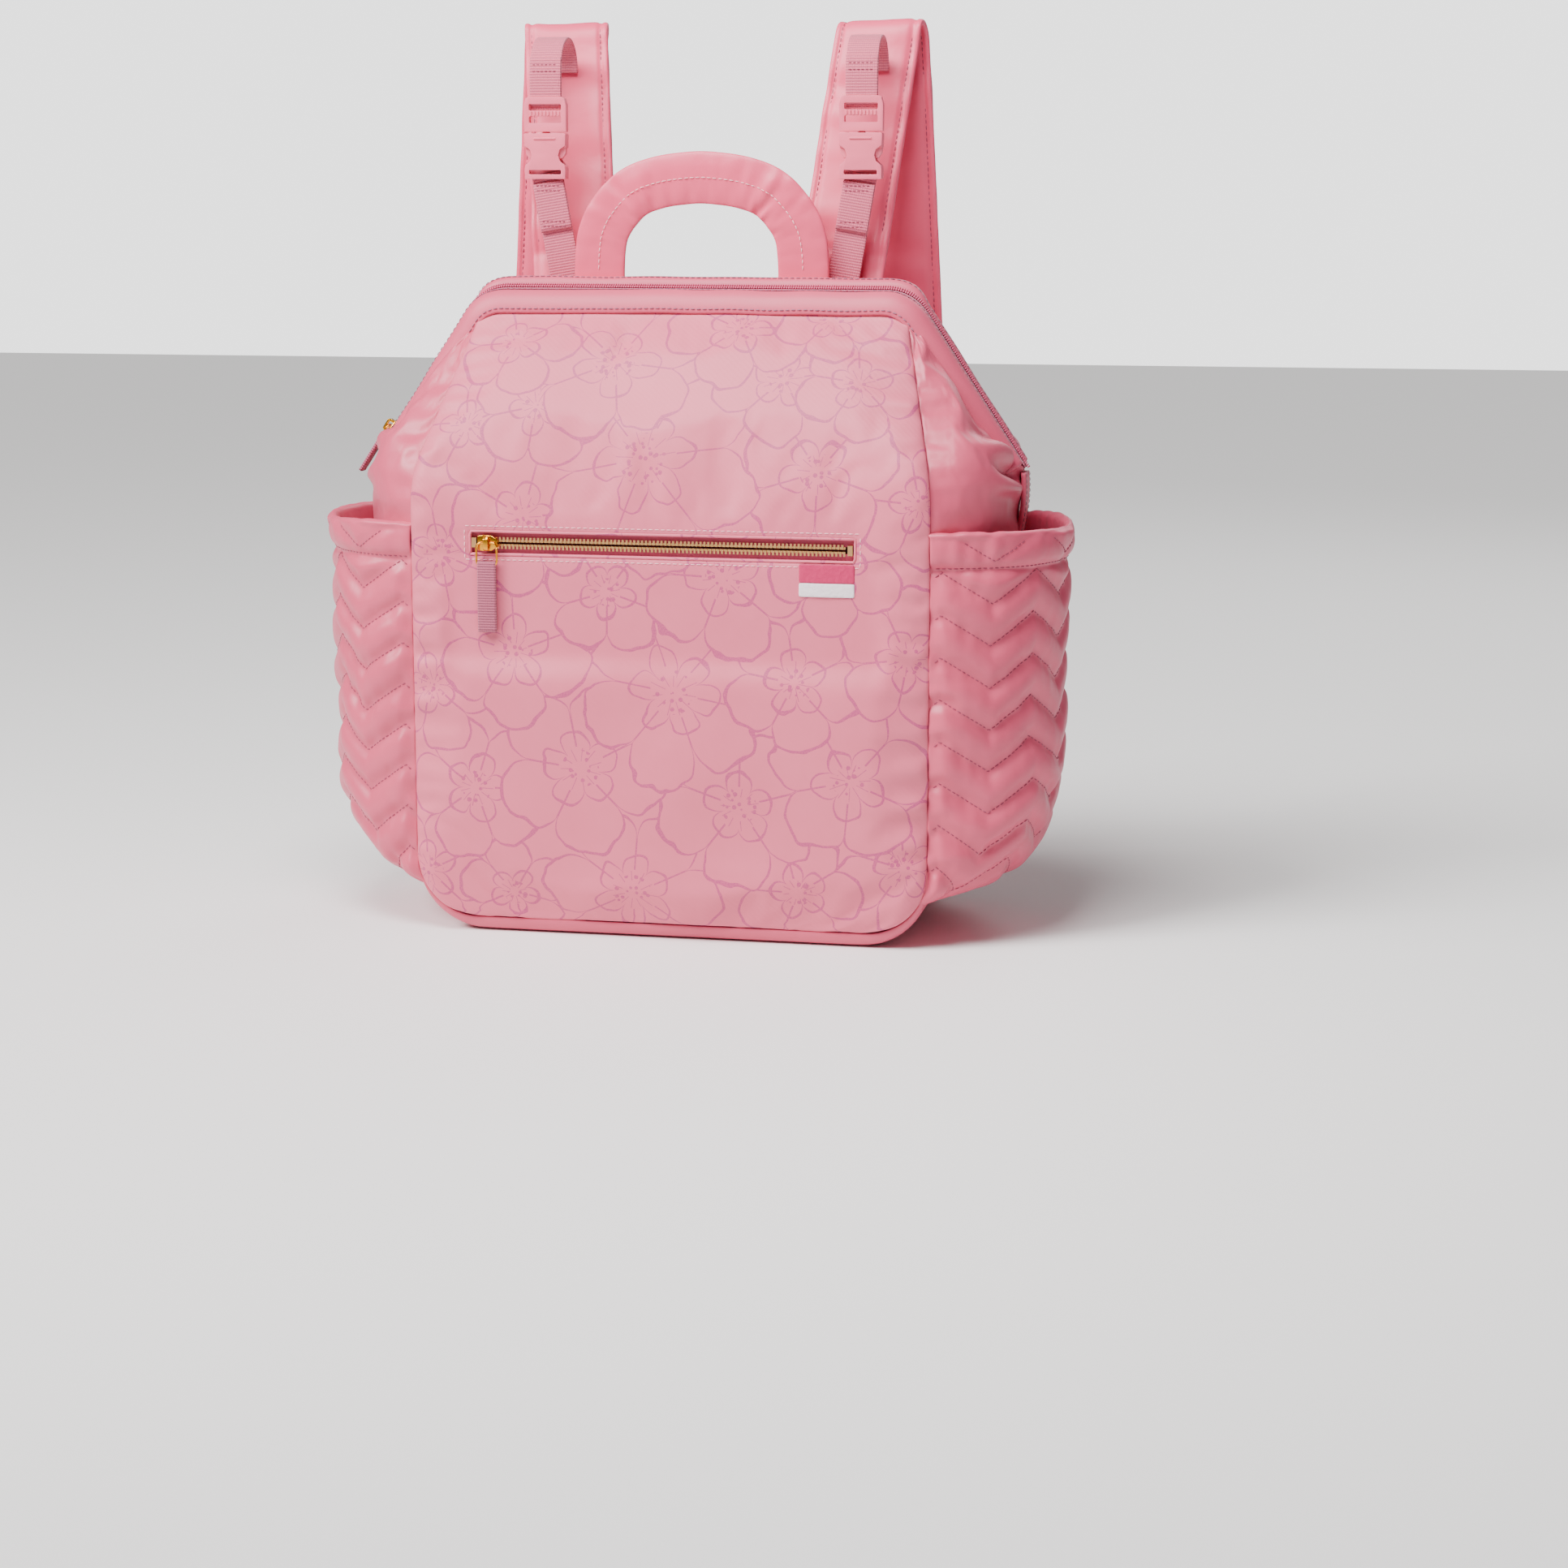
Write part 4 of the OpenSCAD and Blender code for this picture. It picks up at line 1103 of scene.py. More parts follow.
        # Two smaller tucks fan out above and below it
        above = up - 22 - 34 * (1 - uu)
        height -= 3.0 * amount * np.exp(-(above / 3.5) ** 2) * smooth_step(uu, 0.5, 0.8) * smooth_step(1 - uu, 0, 0.1)
        below = up + 12 - 4 * (1 - uu)
        height -= 2.5 * amount * np.exp(-(below / 3.5) ** 2) * smooth_step(uu, 0.3, 0.7) * smooth_step(1 - uu, 0, 0.1)
        visible = smooth_step(rise, 225, 250)
        height += waves(rise, uu * 15, 15, 31 + s + f) * np.exp(-uu * 6) * 1.0 * np.clip(uu * 12, 0, 1) * visible
        height += waves(rise, uu * 12, 17, 37 + s + f) * np.exp(-(1 - uu) * 6) * 0.4 * np.clip((1 - uu) * 9, 0, 1) * visible
        height += waves(uu * 80, rise * 0.6, 42, 17 + s + 2 * f) * 1.6 * body
        return height

    def back(self, fin: Finishes) -> None:
        """Back panel, quilted in upright channels, from the base up to the rear band."""
        m = self.size
        side = polyline(np.array([[m.back_y, self.front.seam_z], [m.back_y, m.crease_z],
                                  [17.5, self.front.top_z]]), self.step, 44.0)
        share = np.linspace(-1, 1, 75)
        half = self.front.half_width(side[:, 1], side[:, 0])
        x = half[:, None] * share[None, :]
        z = np.repeat(side[:, 1][:, None], len(share), axis=1)
        y = np.repeat(side[:, 0][:, None], len(share), axis=1)
        arc = np.concatenate([[0], np.cumsum(np.linalg.norm(np.diff(side, axis=0), axis=1))])
        flat = np.stack([x, np.repeat(arc[:, None], len(share), axis=1)], axis=-1)
        sheet = GridSheet("back_cloth", np.stack([x, y, z], -1), flat, np.array([0.0, 1.0, 0.3]))
        edge = np.maximum(np.minimum(half[:, None] - np.abs(x), z - self.front.seam_z), 0)
        channel = np.abs(np.sin(x / 46.0 * math.pi)) ** 0.5
        height = 1.8 * channel * np.clip(edge / 12, 0, 1) - 3.0 * np.exp(-edge / 6) - 1.2
        height += waves(arc[:, None] + 0 * x, x * 0.2, 18, 8) * np.exp(-edge / 14) * 1.2
        sheet.push(height * np.clip((arc[-1] - arc)[:, None] / 16, 0, 1))
        self.back_sheet = sheet
        obj = place(sheet.build(2.2), fin.satin, "bag", ["back_panel", "back_panel_upper"])

    def base(self, fin: Finishes) -> None:
        """Base and turned-up edge, one strip between the front and back seams."""
        m = self.size
        fr = self.front

        def outline(radius: float, bottom: float, half: float) -> Array:
            """U-shaped outline from the left side round the base to the right side."""
            right = [(half, m.corner_r + 8.0)]
            right += [(half - radius + radius * math.sin(a), bottom + radius - radius * math.cos(a))
                      for a in np.linspace(math.pi / 2, 0, 12)]
            right += [(half - radius - (half - radius) * k / 8, bottom) for k in range(1, 9)]
            left = [(-px, pz) for px, pz in right[:-1]]
            return np.array(left + right[::-1])

        seam = outline(fr.seam_r, fr.seam_z, m.half_w)
        body = outline(m.corner_r, 0.0, m.half_w)
        y = np.concatenate([np.linspace(-m.front_y + 3.5, -m.front_y + 16, 8),
                            np.linspace(-m.front_y + 24, m.back_y - 24, 16),
                            np.linspace(m.back_y - 16, m.back_y - 2.5, 8)])
        into = np.minimum(y + m.front_y - 3.5, m.back_y - 2.5 - y)
        mix = np.sqrt(np.clip(1 - (1 - np.clip(into / 9.0, 0, 1)) ** 2, 0, 1))
        xz = seam[None, :, :] * (1 - mix)[:, None, None] + body[None, :, :] * mix[:, None, None]
        pts = np.stack([xz[..., 0], np.repeat(y[:, None], len(seam), axis=1), xz[..., 1]], axis=-1)
        arc = np.concatenate([[0], np.cumsum(np.linalg.norm(np.diff(body, axis=0), axis=1))])
        flat = np.stack([np.repeat(arc[None, :], len(y), axis=0), pts[..., 1]], axis=-1)
        outward = pts - np.array([0.0, 0.0, 90.0])
        sheet = GridSheet("base_cloth", pts, flat, outward)
        obj = sheet.build(2.2)
        place(obj, fin.satin, "bag", ["base_panel"])

    def build(self, fin: Finishes) -> None:
        """Builds the whole shell."""
        self.back(fin)
        self.base(fin)
        for side in Side:
            for front in (True, False):
                self.gusset_half(side, front, fin)
        LOG.info("body shell built")


@dataclass
class SidePocket:
    """Quilted side pocket with a gathered hem."""

    size: Measures
    front: FrontCloth
    side: Side
    hem: float = 21.0
    row_pitch: float = 25.5
    zigzag: float = 66.0
    rise: float = 19.0
    foot_z: float = 24.0

    def chevron(self, arc: Array, row: int) -> Array:
        """Height of a chevron's stitch line at a place round the pocket."""
        phase = np.abs(((arc / self.zigzag + 0.25) % 1.0) * 2 - 1)
        return self.size.rim_z - self.hem - 12 - row * self.row_pitch - self.rise * phase + self.rise / 2

    def build(self, fin: Finishes) -> None:
        """Builds the quilted wall, the hem and the stitching."""
        m = self.size
        s = self.side.value
        mid_y = (m.back_y - m.front_y) / 2
        half = (m.back_y + m.front_y) / 2 - 1.5
        depth = m.pocket_x - m.half_w + 1.0
        radius = (half ** 2 + depth ** 2) / (2 * depth)
        top = math.asin(half / radius)
        cols = 118
        psi = np.linspace(-top, top, cols)
        outer = np.linspace(self.foot_z, m.rim_z - 3.2, 96)
        roll = np.linspace(0, math.pi, 8)[1:]
        rim_r = 3.2
        z_rows = np.concatenate([outer, outer[-1] + rim_r * np.sin(roll), outer[-1] - np.linspace(6, 60, 12)])
        inset = np.concatenate([0 * outer, rim_r * (1 - np.cos(roll)), np.full(12, 2 * rim_r)])
        zz = np.repeat(z_rows[:, None], cols, axis=1)
        arc = np.repeat((radius * psi)[None, :], len(z_rows), axis=0)
        foot = np.clip((z_rows - self.foot_z) / 92, 0, 1)
        swell = np.sqrt(np.clip(1 - (1 - foot) ** 2, 0, 1)) ** 0.9
        waist = 1 - 0.05 * np.sin(np.clip((z_rows - 60) / 190, 0, 1) * math.pi)
        bulge = (radius * np.cos(psi) - (radius - depth))[None, :] * (swell * waist)[:, None]
        x = self.front.half_width(zz, zz) - 0.5 + bulge - inset[:, None]
        y = np.repeat((mid_y + radius * np.sin(psi) * 1.0)[None, :], len(z_rows), axis=0)
        y = y - np.sign(y - mid_y) * inset[:, None] * np.clip(np.abs(psi) / top, 0, 1)[None, :]
        pts = np.stack([s * x, y, zz], axis=-1)
        outward = np.stack([s * np.cos(psi), np.sin(psi), 0 * psi], axis=-1)[None, :, :] + 0 * pts
        outward[len(outer) + 3:] *= -1
        outward[len(outer):len(outer) + 7, :, 2] = 1.0
        sheet = GridSheet(f"side_pocket_cloth_{self.side.word}", pts, np.stack([arc, zz], -1), outward)
        face = (np.arange(len(z_rows)) < len(outer))[:, None]
        near = np.full(zz.shape, 99.0)
        slope = math.hypot(1, 2 * self.rise / self.zigzag)
        for row in range(-1, 12):
            near = np.minimum(near, np.abs(zz - self.chevron(arc, row)) / slope)
        hem_line = m.rim_z - self.hem
        quilted = face & (zz < hem_line - 1)
        edge = (radius * (top - np.abs(psi)))[None, :] + 0 * zz
        puff = 3.7 * (1 - np.exp(-(near / 5.0) ** 2)) * np.clip((hem_line - zz) / 8, 0, 1)
        puff = puff * np.clip(edge / 10, 0.15, 1) * np.clip((zz - self.foot_z) / 14, 0.2, 1) - 1.5
        crimp = waves(arc, zz * 0.4, 12, 40 + s) * 0.9 * np.exp(-near / 6)
        crimp = crimp + waves(arc * 0.35, zz, 13, 45 + s) * 1.5 * np.exp(-edge / 12)
        on_hem = 1.5 * (1 - np.exp(-(near / 4.0) ** 2)) * np.clip(edge / 8, 0, 1) - 0.7
        height = np.where(quilted, puff + crimp, np.where(face, on_hem, 0.0))
        # The elastic gathers the hem into upright puckers that fade below the stitch line
        gather = waves(arc, zz * 0.12, 14, 50 + s) * (0.8 * smooth_step(zz, hem_line - 20, hem_line + 6))
        gather = gather * np.clip(edge / 8, 0, 1)
        pinch = -1.8 * np.exp(-((zz - hem_line) / 2.2) ** 2)
        roundness = 1.5 * np.sin(np.clip((zz - hem_line) / self.hem, 0, 1) * math.pi)
        height = height + np.where(face, gather + pinch + roundness, gather * -0.6)
        height = height + waves(arc, zz, 75, 60 + s) * 1.8 * np.clip(edge / 20, 0, 1) * np.where(face, 1, -1)
        height = height - 1.0 * np.where(face, 1, 0)
        sheet.push(height)
        self.thread(sheet, psi, radius, outer, hem_line, fin)
        obj = sheet.build(1.5)
        place(obj, fin.satin, "bag", [f"side_pocket_{self.side.word}", f"pocket_elastic_{self.side.word}"])
        LOG.info("side pocket %s: %d points", self.side.word, zz.size)

    def thread(self, sheet: GridSheet, psi: Array, radius: float, outer: Array, hem_line: float,
               fin: Finishes) -> None:
        """Sews the chevron rows and the hem line onto the pocket's face."""
        cols = np.linspace(1.5, len(psi) - 2.5, 260)
        arc = radius * np.interp(cols, np.arange(len(psi)), psi)
        row_of = lambda zz: np.interp(zz, outer, np.arange(len(outer)))
        runs = []
        for row in range(-1, 12):
            z = self.chevron(arc, row)
            ok = (z > self.foot_z + 4) & (z < self.size.rim_z - 5)
            breaks = np.flatnonzero(np.diff(ok.astype(int)))
            for part in np.split(np.arange(len(z)), breaks + 1):
                if len(part) > 6 and ok[part].all():
                    runs.append(sheet.at(row_of(z[part]), cols[part]))
        hem = sheet.at(np.full(len(cols), row_of(hem_line)), cols)
        obj = stitches(f"pocket_quilt_thread_{self.side.word}", runs, 2.8, 3.3, 0.36)
        place(obj, fin.dark_thread, "bag")
        obj = stitches(f"pocket_hem_thread_{self.side.word}", [hem], 2.9, 3.6, 0.38)
        place(obj, fin.dark_thread, "bag")


@dataclass
class FrameMouth:
    """Frame bands, main zip, its slider and pull, and the folded end tabs."""

    size: Measures
    foot: float = 289.0

    def band(self, front: bool, fin: Finishes) -> None:
        """One coated band round the hoop, with two rows of stitches."""
        m = self.size
        f = -1 if front else 1
        if front:
            shape = np.array([(5.2, -2.8, 0), (5.3, -1.2, 0), (6.3, -0.3, 0), (8.8, 0.0, 0), (12.0, -1.0, 0),
                              (15.6, -4.0, 0), (18.0, -8.6, 0), (19.3, -13.6, 0), (18.2, -15.0, 0),
                              (14.0, -11.8, 0), (9.0, -10.4, 0), (5.6, -7.4, 0)])
        else:
            shape = np.array([(2.6, -2.8, 0), (2.8, -0.6, 0.2), (3.8, 0.9, 0.7), (7.0, 2.0, 1), (12.0, 1.8, 1),
                              (17.6, -0.6, 0.8), (20.4, -6.0, 0.2), (20.6, -13.6, 0), (18.8, -14.2, 0),
                              (16.0, -12.0, 0), (11.0, -10.6, 0), (5.4, -8.0, 0)])
        path, out = m.hoop(0.0, 0.0, self.foot)
        lift = self.lift(out)
        across = np.tile(np.array([0.0, float(f), 0.0]), (len(path), 1))
        along = np.concatenate([[0], np.cumsum(np.linalg.norm(np.diff(path, axis=0), axis=1))])
        wob = waves(along, along * 0, 46, 70 + f) * 0.5
        pts = (path[:, None, :] + across[:, None, :] * shape[None, :, 0:1]
               + out[:, None, :] * (shape[None, :, 1:2] + wob[:, None, None]
                                    + lift[:, None, None] * shape[None, :, 2:3]))
        rows, cols = pts.shape[:2]
        faces = [(i * cols + j, i * cols + (j + 1) % cols, (i + 1) * cols + (j + 1) % cols, (i + 1) * cols + j)
                 for i in range(rows - 1) for j in range(cols)]
        faces += [tuple(range(cols)), tuple((rows - 1) * cols + j for j in range(cols - 1, -1, -1))]
        obj = new_object("front_band_cloth" if front else "rear_band_cloth", pts.reshape(-1, 3), faces)
        tidy_normals(obj)
        modify(obj, "SUBSURF", levels=1, render_levels=1)
        body = "front_frame" if front else "bag"
        place(obj, fin.coated, body, ["front_frame_band" if front else "rear_frame_band"])
        runs = []
        rows_of = (((8.2, 0.05, 0, (-0.05, 1.0)), (18.9, -11.3, 0, (1.0, 0.25))) if front
                   else ((6.3, 1.72, 0.93, (-0.25, 0.95)), (19.9, -4.6, 0.3, (0.9, 0.45))))
        for y, o, k, nrm in rows_of:
            line = path + across * y + out * (o + wob + lift * k)[:, None]
            runs.append((line, unit(across * nrm[0] + out * nrm[1])))
        thread = stitches("front_band_thread" if front else "rear_band_thread", runs, 2.8, 3.7, 0.34)
        place(thread, fin.band_thread, body)

    @staticmethod
    def lift(out: Array) -> Array:
        """How far the rear band stands above the front one: none on the arms, most along the top."""
        return 5.5 * smooth_step(out[:, 2], 0.62, 0.98)

    def zip_half(self, front: bool, fin: Finishes) -> None:
        """One tape and one row of coil."""
        m = self.size
        f = -1 if front else 1
        share = 0.12 if front else 0.3
        path, out = m.hoop(-0.5, f * 3.2, self.foot - 2)
        path = path + out * (self.lift(out) * share)[:, None]
        strip = sweep("zip_tape_front" if front else "zip_tape_rear", path,
                      np.tile([0.0, 1.0, 0.0], (len(path), 1)), oval(6.0, 0.8, 10, 5))
        path, out = m.hoop(0.4, f * 0.95, self.foot - 2, 1.45)
        path = path + out * (self.lift(out) * share)[:, None]
        verts, faces = [], []
        for i, (here, up) in enumerate(zip(path, out)):
            ahead = path[min(i + 1, len(path) - 1)] - path[max(i - 1, 0)]
            go = unit(ahead)
            over = np.array([0.0, float(f), 0.0])
            base = len(verts)
            for a, h, k in ((-0.9, 0.1, 1), (-0.6, 1.2, 1), (1.1, 1.0, 1), (1.7, -0.2, 1)):
                for g in (-0.48, 0.48):
                    verts.append(here + over * a + up * h + go * g)
            for j in range(3):
                faces.append((base + 2 * j, base + 2 * j + 1, base + 2 * j + 3, base + 2 * j + 2))
            faces += [(base, base + 2, base + 4, base + 6), (base + 1, base + 7, base + 5, base + 3),
                      (base + 6, base + 7, base + 1, base)]
        coil = new_object("zip_coil_front" if front else "zip_coil_rear", np.array(verts), faces)
        tidy_normals(coil)
        modify(coil, "BEVEL", width=0.12 * MM, segments=1)
        body = "front_frame" if front else "bag"
        place(strip, fin.tape, body, ["main_zip_front" if front else "main_zip_rear"])
        place(coil, fin.coil, body)

    def end_tab(self, side: Side, fin: Finishes) -> None:
        """Folded tab at the zip's end, hanging into the side pocket's mouth."""
        low, high = corners(f"zip_end_tab_{side.word}")
        mid = (low + high) / 2
        s = side.value
        z = np.linspace(high[2] + 3, low[2] - 1, 16)
        bow = np.sin(np.linspace(0, math.pi, 16)) * 1.6
        tuck_in = 3.2 * np.linspace(0, 1, 16) + 2.0
        path = np.stack([mid[0] + s * (bow - tuck_in), np.full(16, mid[1]), z], axis=1)
        obj = sweep(f"zip_tab_{side.word}", path, np.tile([0.0, 1.0, 0.0], (16, 1)), oval(20.0, 3.4, 18, 5))
        place(obj, fin.coated, "bag", [f"zip_end_tab_{side.word}"])
        runs = []
        for y in (-7.6, 7.6):
            line = path + np.array([s * 1.75, y, 0])
            runs.append((line, np.tile([float(s), 0.0, 0.0], (16, 1))))
        place(stitches(f"zip_tab_thread_{side.word}", runs, 2.6, 3.4, 0.28), fin.band_thread, "bag")

    def build(self, fin: Finishes) -> None:
        """Builds the bands, the zip and the tabs, and dresses the slider and pull."""
        for front in (True, False):
            self.band(front, fin)
            self.zip_half(front, fin)
        for side in Side:
            self.end_tab(side, fin)
        self.slider(fin)
        LOG.info("frame mouth built")

    def slider(self, fin: Finishes) -> None:
        """Slider on the left arm with its ring and ribbon."""
        m = self.size
        tilt = math.atan2(m.foot_x - m.top_x, m.frame_z - m.crease_z)
        go = np.array([math.sin(tilt), 0.0, math.cos(tilt)])
        out = np.array([-math.cos(tilt), 0.0, math.sin(tilt)])
        foot = np.array([-m.foot_x, 0.0, m.crease_z])
        at = lambda s, o, y=0.0: foot + go * s + out * o + np.array([0.0, y, 0.0])
        plate = np.array([(-4.6, 0), (4.6, 0), (5.2, 4), (4.8, 9.5), (2.6, 13), (-2.6, 13), (-4.8, 9.5), (-5.2, 4)])
        y_dir = np.array([0.0, 1.0, 0.0])
        top = slab("slider_top", plate, 1.7, at(18, 1.7), y_dir, go, 0.5)
        inner = slab("slider_inner", plate * [0.5, 0.62], 1.4, at(21, -4.6), y_dir, go, 0.4)
        web = slab("slider_web", rounded_box(2.4, 3.4, 0.6), 0.8, at(24.5, -1.4), go, out, 0.2)
        arch = np.array([(0, 0), (0, 3.2), (1.2, 5), (7.8, 5), (9.0, 3.2), (9.0, 0), (7.4, 0), (7.4, 3.0),
                         (6.9, 3.5), (2.1, 3.5), (1.6, 3.0), (1.6, 0)])
        bridge = slab("slider_bridge", arch, 3.0, at(20, 2.6), go, out, 0.4)
        obj = joined("main_zip_slider", [top, inner, web, bridge])
        place(obj, fin.gold, "main_slider", ["main_slider"])
        ring_path = rounded_box(3.6, 6.0, 2.0, 6)
        ring = np.array([at(24.5 - 5.4 + b, 4.8, a) for a, b in ring_path])
        ring = np.vstack([ring, ring[:1]])
        bar = sweep("main_pull_ring", polyline(ring, 0.7), np.tile(out, (len(polyline(ring, 0.7)), 1)),
                    oval(1.4, 1.4, 10, 2))
        place(bar, fin.gold, "main_pull", ["main_pull"])
        lows = np.linspace(15.0, -9.5, 14)
        path = np.array([at(v, 4.8) for v in lows])
        tab = sweep("main_pull_ribbon", path, np.tile(y_dir, (14, 1)), oval(10.0, 2.4, 16, 5))
        place(tab, fin.ribbon, "main_pull")


@dataclass
class PocketZip:
    """Front pocket zip: welt stitches, lip, slider, pull and the label; its tape and teeth are CAD nodes dressed
    elsewhere.
    """

    size: Measures
    front: FrontCloth

    def build(self, fin: Finishes) -> None:
        """Builds the zip."""
        m = self.size
        place(stitches("welt_thread", self.front.welt_runs(), 2.8, 3.7, 0.3), fin.thread, "bag")
        y = -m.front_y
        box = [(m.slot_low[0], m.slot_low[1]), (m.slot_high[0], m.slot_low[1]),
               (m.slot_high[0], m.slot_high[1]), (m.slot_low[0], m.slot_high[1]),
               (m.slot_low[0], m.slot_low[1])]
        ring = polyline(np.array([(px, y + 1.4, pz) for px, pz in box]), 3.0)
        lip = sweep("zip_opening_lip", ring, np.tile([0.0, 1.0, 0.0], (len(ring), 1)), oval(3.6, 1.8, 12, 3))
        place(lip, fin.print, "bag")
        self.slider(fin)
        self.label(fin)
        LOG.info("pocket zip built")

    def slider(self, fin: Finishes) -> None:
        """Gold slider, ring and ribbed ribbon pull at the left end."""
        low, high = corners("pocket_slider")
        m = self.size
        z0 = (low[2] + high[2]) / 2
        y0 = -m.front_y
        x_dir, z_dir = np.array([1.0, 0.0, 0.0]), np.array([0.0, 0.0, 1.0])
        plate = np.array([(0, -4.4), (4, -5.0), (9, -4.6), (12.4, -2.4), (12.4, 2.4), (9, 4.6), (4, 5.0), (0, 4.4)])
        front = slab("p_top", plate, 1.7, np.array([low[0] - 0.5, y0 - 1.3, z0]), x_dir, z_dir, 0.5)
        rear = slab("p_rear", plate * [0.9, 0.85], 1.3, np.array([low[0], y0 + 5.5, z0]), x_dir, z_dir, 0.3)
        web = slab("p_web", rounded_box(3.0, 3.1, 0.5), 0.8, np.array([low[0] + 3, y0 + 2.2, z0]), x_dir,
                   np.array([0.0, 1.0, 0.0]), 0.2)
        arch = np.array([(-4.4, 0), (-4.4, 3.0), (-2.6, 4.6), (2.6, 4.6), (4.4, 3.0), (4.4, 0), (3.0, 0),
                         (3.0, 2.4), (2.0, 3.3), (-2.0, 3.3), (-3.0, 2.4), (-3.0, 0)])
        crown = slab("p_crown", arch, 3.2, np.array([low[0] + 5.6, y0 - 2.1, z0]), z_dir,
                     np.array([0.0, -1.0, 0.0]), 0.45)
        obj = joined("pocket_zip_slider", [front, rear, web, crown])
        place(obj, fin.gold, "pocket_slider", ["pocket_slider"])
        ring_low, ring_high = corners("pocket_pull_ring")
        cx, cy = (ring_low[0] + ring_high[0]) / 2, (ring_low[1] + ring_high[1]) / 2
        shape = rounded_box(6.4, 7.0, 3.2, 7)
        ring = np.array([(cx + a, cy, (ring_low[2] + ring_high[2]) / 2 + b) for a, b in shape])
        ring = polyline(np.vstack([ring, ring[:1]]), 0.8)
        obj = sweep("pocket_pull_wire", ring, np.tile([0.0, 1.0, 0.0], (len(ring), 1)), oval(1.4, 1.4, 10, 2))
        place(obj, fin.gold, "pocket_pull", ["pocket_pull_ring"])
        tab_low, tab_high = corners("pocket_pull_tab")
        z = np.linspace(tab_high[2], tab_low[2], 26)
        bow = np.sin(np.linspace(0, math.pi, 26)) * 0.5
        path = np.stack([np.full(26, cx), cy - bow, z], axis=1)
        obj = sweep("pocket_pull_ribbon", path, np.tile([1.0, 0.0, 0.0], (26, 1)), oval(11.6, 3.2, 18, 6))
        place(obj, fin.ribbon, "pocket_pull", ["pocket_pull_tab"])

    def label(self, fin: Finishes) -> None:
        """Plain two-colour woven label, with no lettering."""
        low, high = corners("side_label")
        y = low[1] - 0.2
        split = low[2] + (high[2] - low[2]) * 0.42
        for name, z0, z1, mat in (("label_top", split, high[2], fin.label_top),
                                  ("label_foot", low[2], split, fin.label_foot)):
            rows = np.linspace(z0, z1, 6)
            cols = np.linspace(low[0], high[0], 14)
            x, z = np.meshgrid(cols, rows)
            bow = 0.5 * np.sin((x - low[0]) / (high[0] - low[0]) * math.pi) + waves(x, z, 22, 4) * 0.25
            pts = np.stack([x, y - bow, z], axis=-1)
            sheet = GridSheet(name, pts, np.stack([x, z], -1), np.array([0.0, -1.0, 0.0]))
            obj = sheet.build(0.7, 1)
            place(obj, mat, "bag", ["side_label"] if name == "label_top" else [])


@dataclass
class CarryHandle:
    """Padded carry handle on the rear band."""

    size: Measures
    width: float = 32.0
    thick: float = 6.5

    def build(self, fin: Finishes) -> None:
        """Builds the grip strip and its stitching."""
        low, high = corners("carry_handle")
        y = (low[1] + high[1]) / 2
        z0 = low[2] - 2.0
        top = high[2] - self.width / 2 - 1
        right = np.array([(65, z0), (65, z0 + 16), (63, z0 + 34), (55, z0 + 47), (43, top - 8), (24, top - 2),
                          (0, top + 0.5)])
        pts = np.vstack([right * [-1, 1], right[::-1][1:]])
        flat = polyline(pts, 2.5, 16.0)
        path = np.stack([flat[:, 0], np.full(len(flat), y), flat[:, 1]], axis=1)
        go = unit(np.gradient(path, axis=0))
        across = np.cross(go, np.array([0.0, 1.0, 0.0]))
        total = 2.5 * (len(path) - 1)

        def swell(along: Array, a: Array) -> Array:
            """Padding, the pressed middle seam and the crimps on the inside of the bends."""
            mid = np.clip(np.minimum(along, total - along) / 50, 0.25, 1)
            seam = -1.3 * np.exp(-(a / 1.6) ** 2) * mid
            bend = np.exp(-((along - 62) / 16) ** 2) + np.exp(-((total - along - 62) / 16) ** 2)
            crimp = waves(along, a * 0.3, 8, 81) * (0.35 + 1.1 * bend) * smooth_step(a * 0 + mid, 0, 0.6)
            return (1 - (a / (self.width / 2)) ** 2) * 1.5 * mid + seam + crimp

        obj = sweep("carry_handle_cloth", path, across, oval(self.width, self.thick - 2, 44, 5), swell=swell)
        modify(obj, "SUBSURF", levels=1, render_levels=1)
        place(obj, fin.strap, "handle", ["carry_handle", "handle_foam"])
        inner = slice(4, -4)
        along = 2.5 * np.arange(len(path))
        high = (self.thick - 2) / 2 + swell(along, np.full(1, 2.4)) + 0.15
        runs = []
        for f in (-1, 1):
            line = path + np.array([0.0, float(f), 0.0]) * high[:, None]
            runs.append((line[inner], np.tile([0.0, float(f), 0.0], (len(line[inner]), 1))))
        place(stitches("carry_handle_thread", runs, 2.8, 3.6, 0.3), fin.thread, "handle")
        LOG.info("carry handle built")


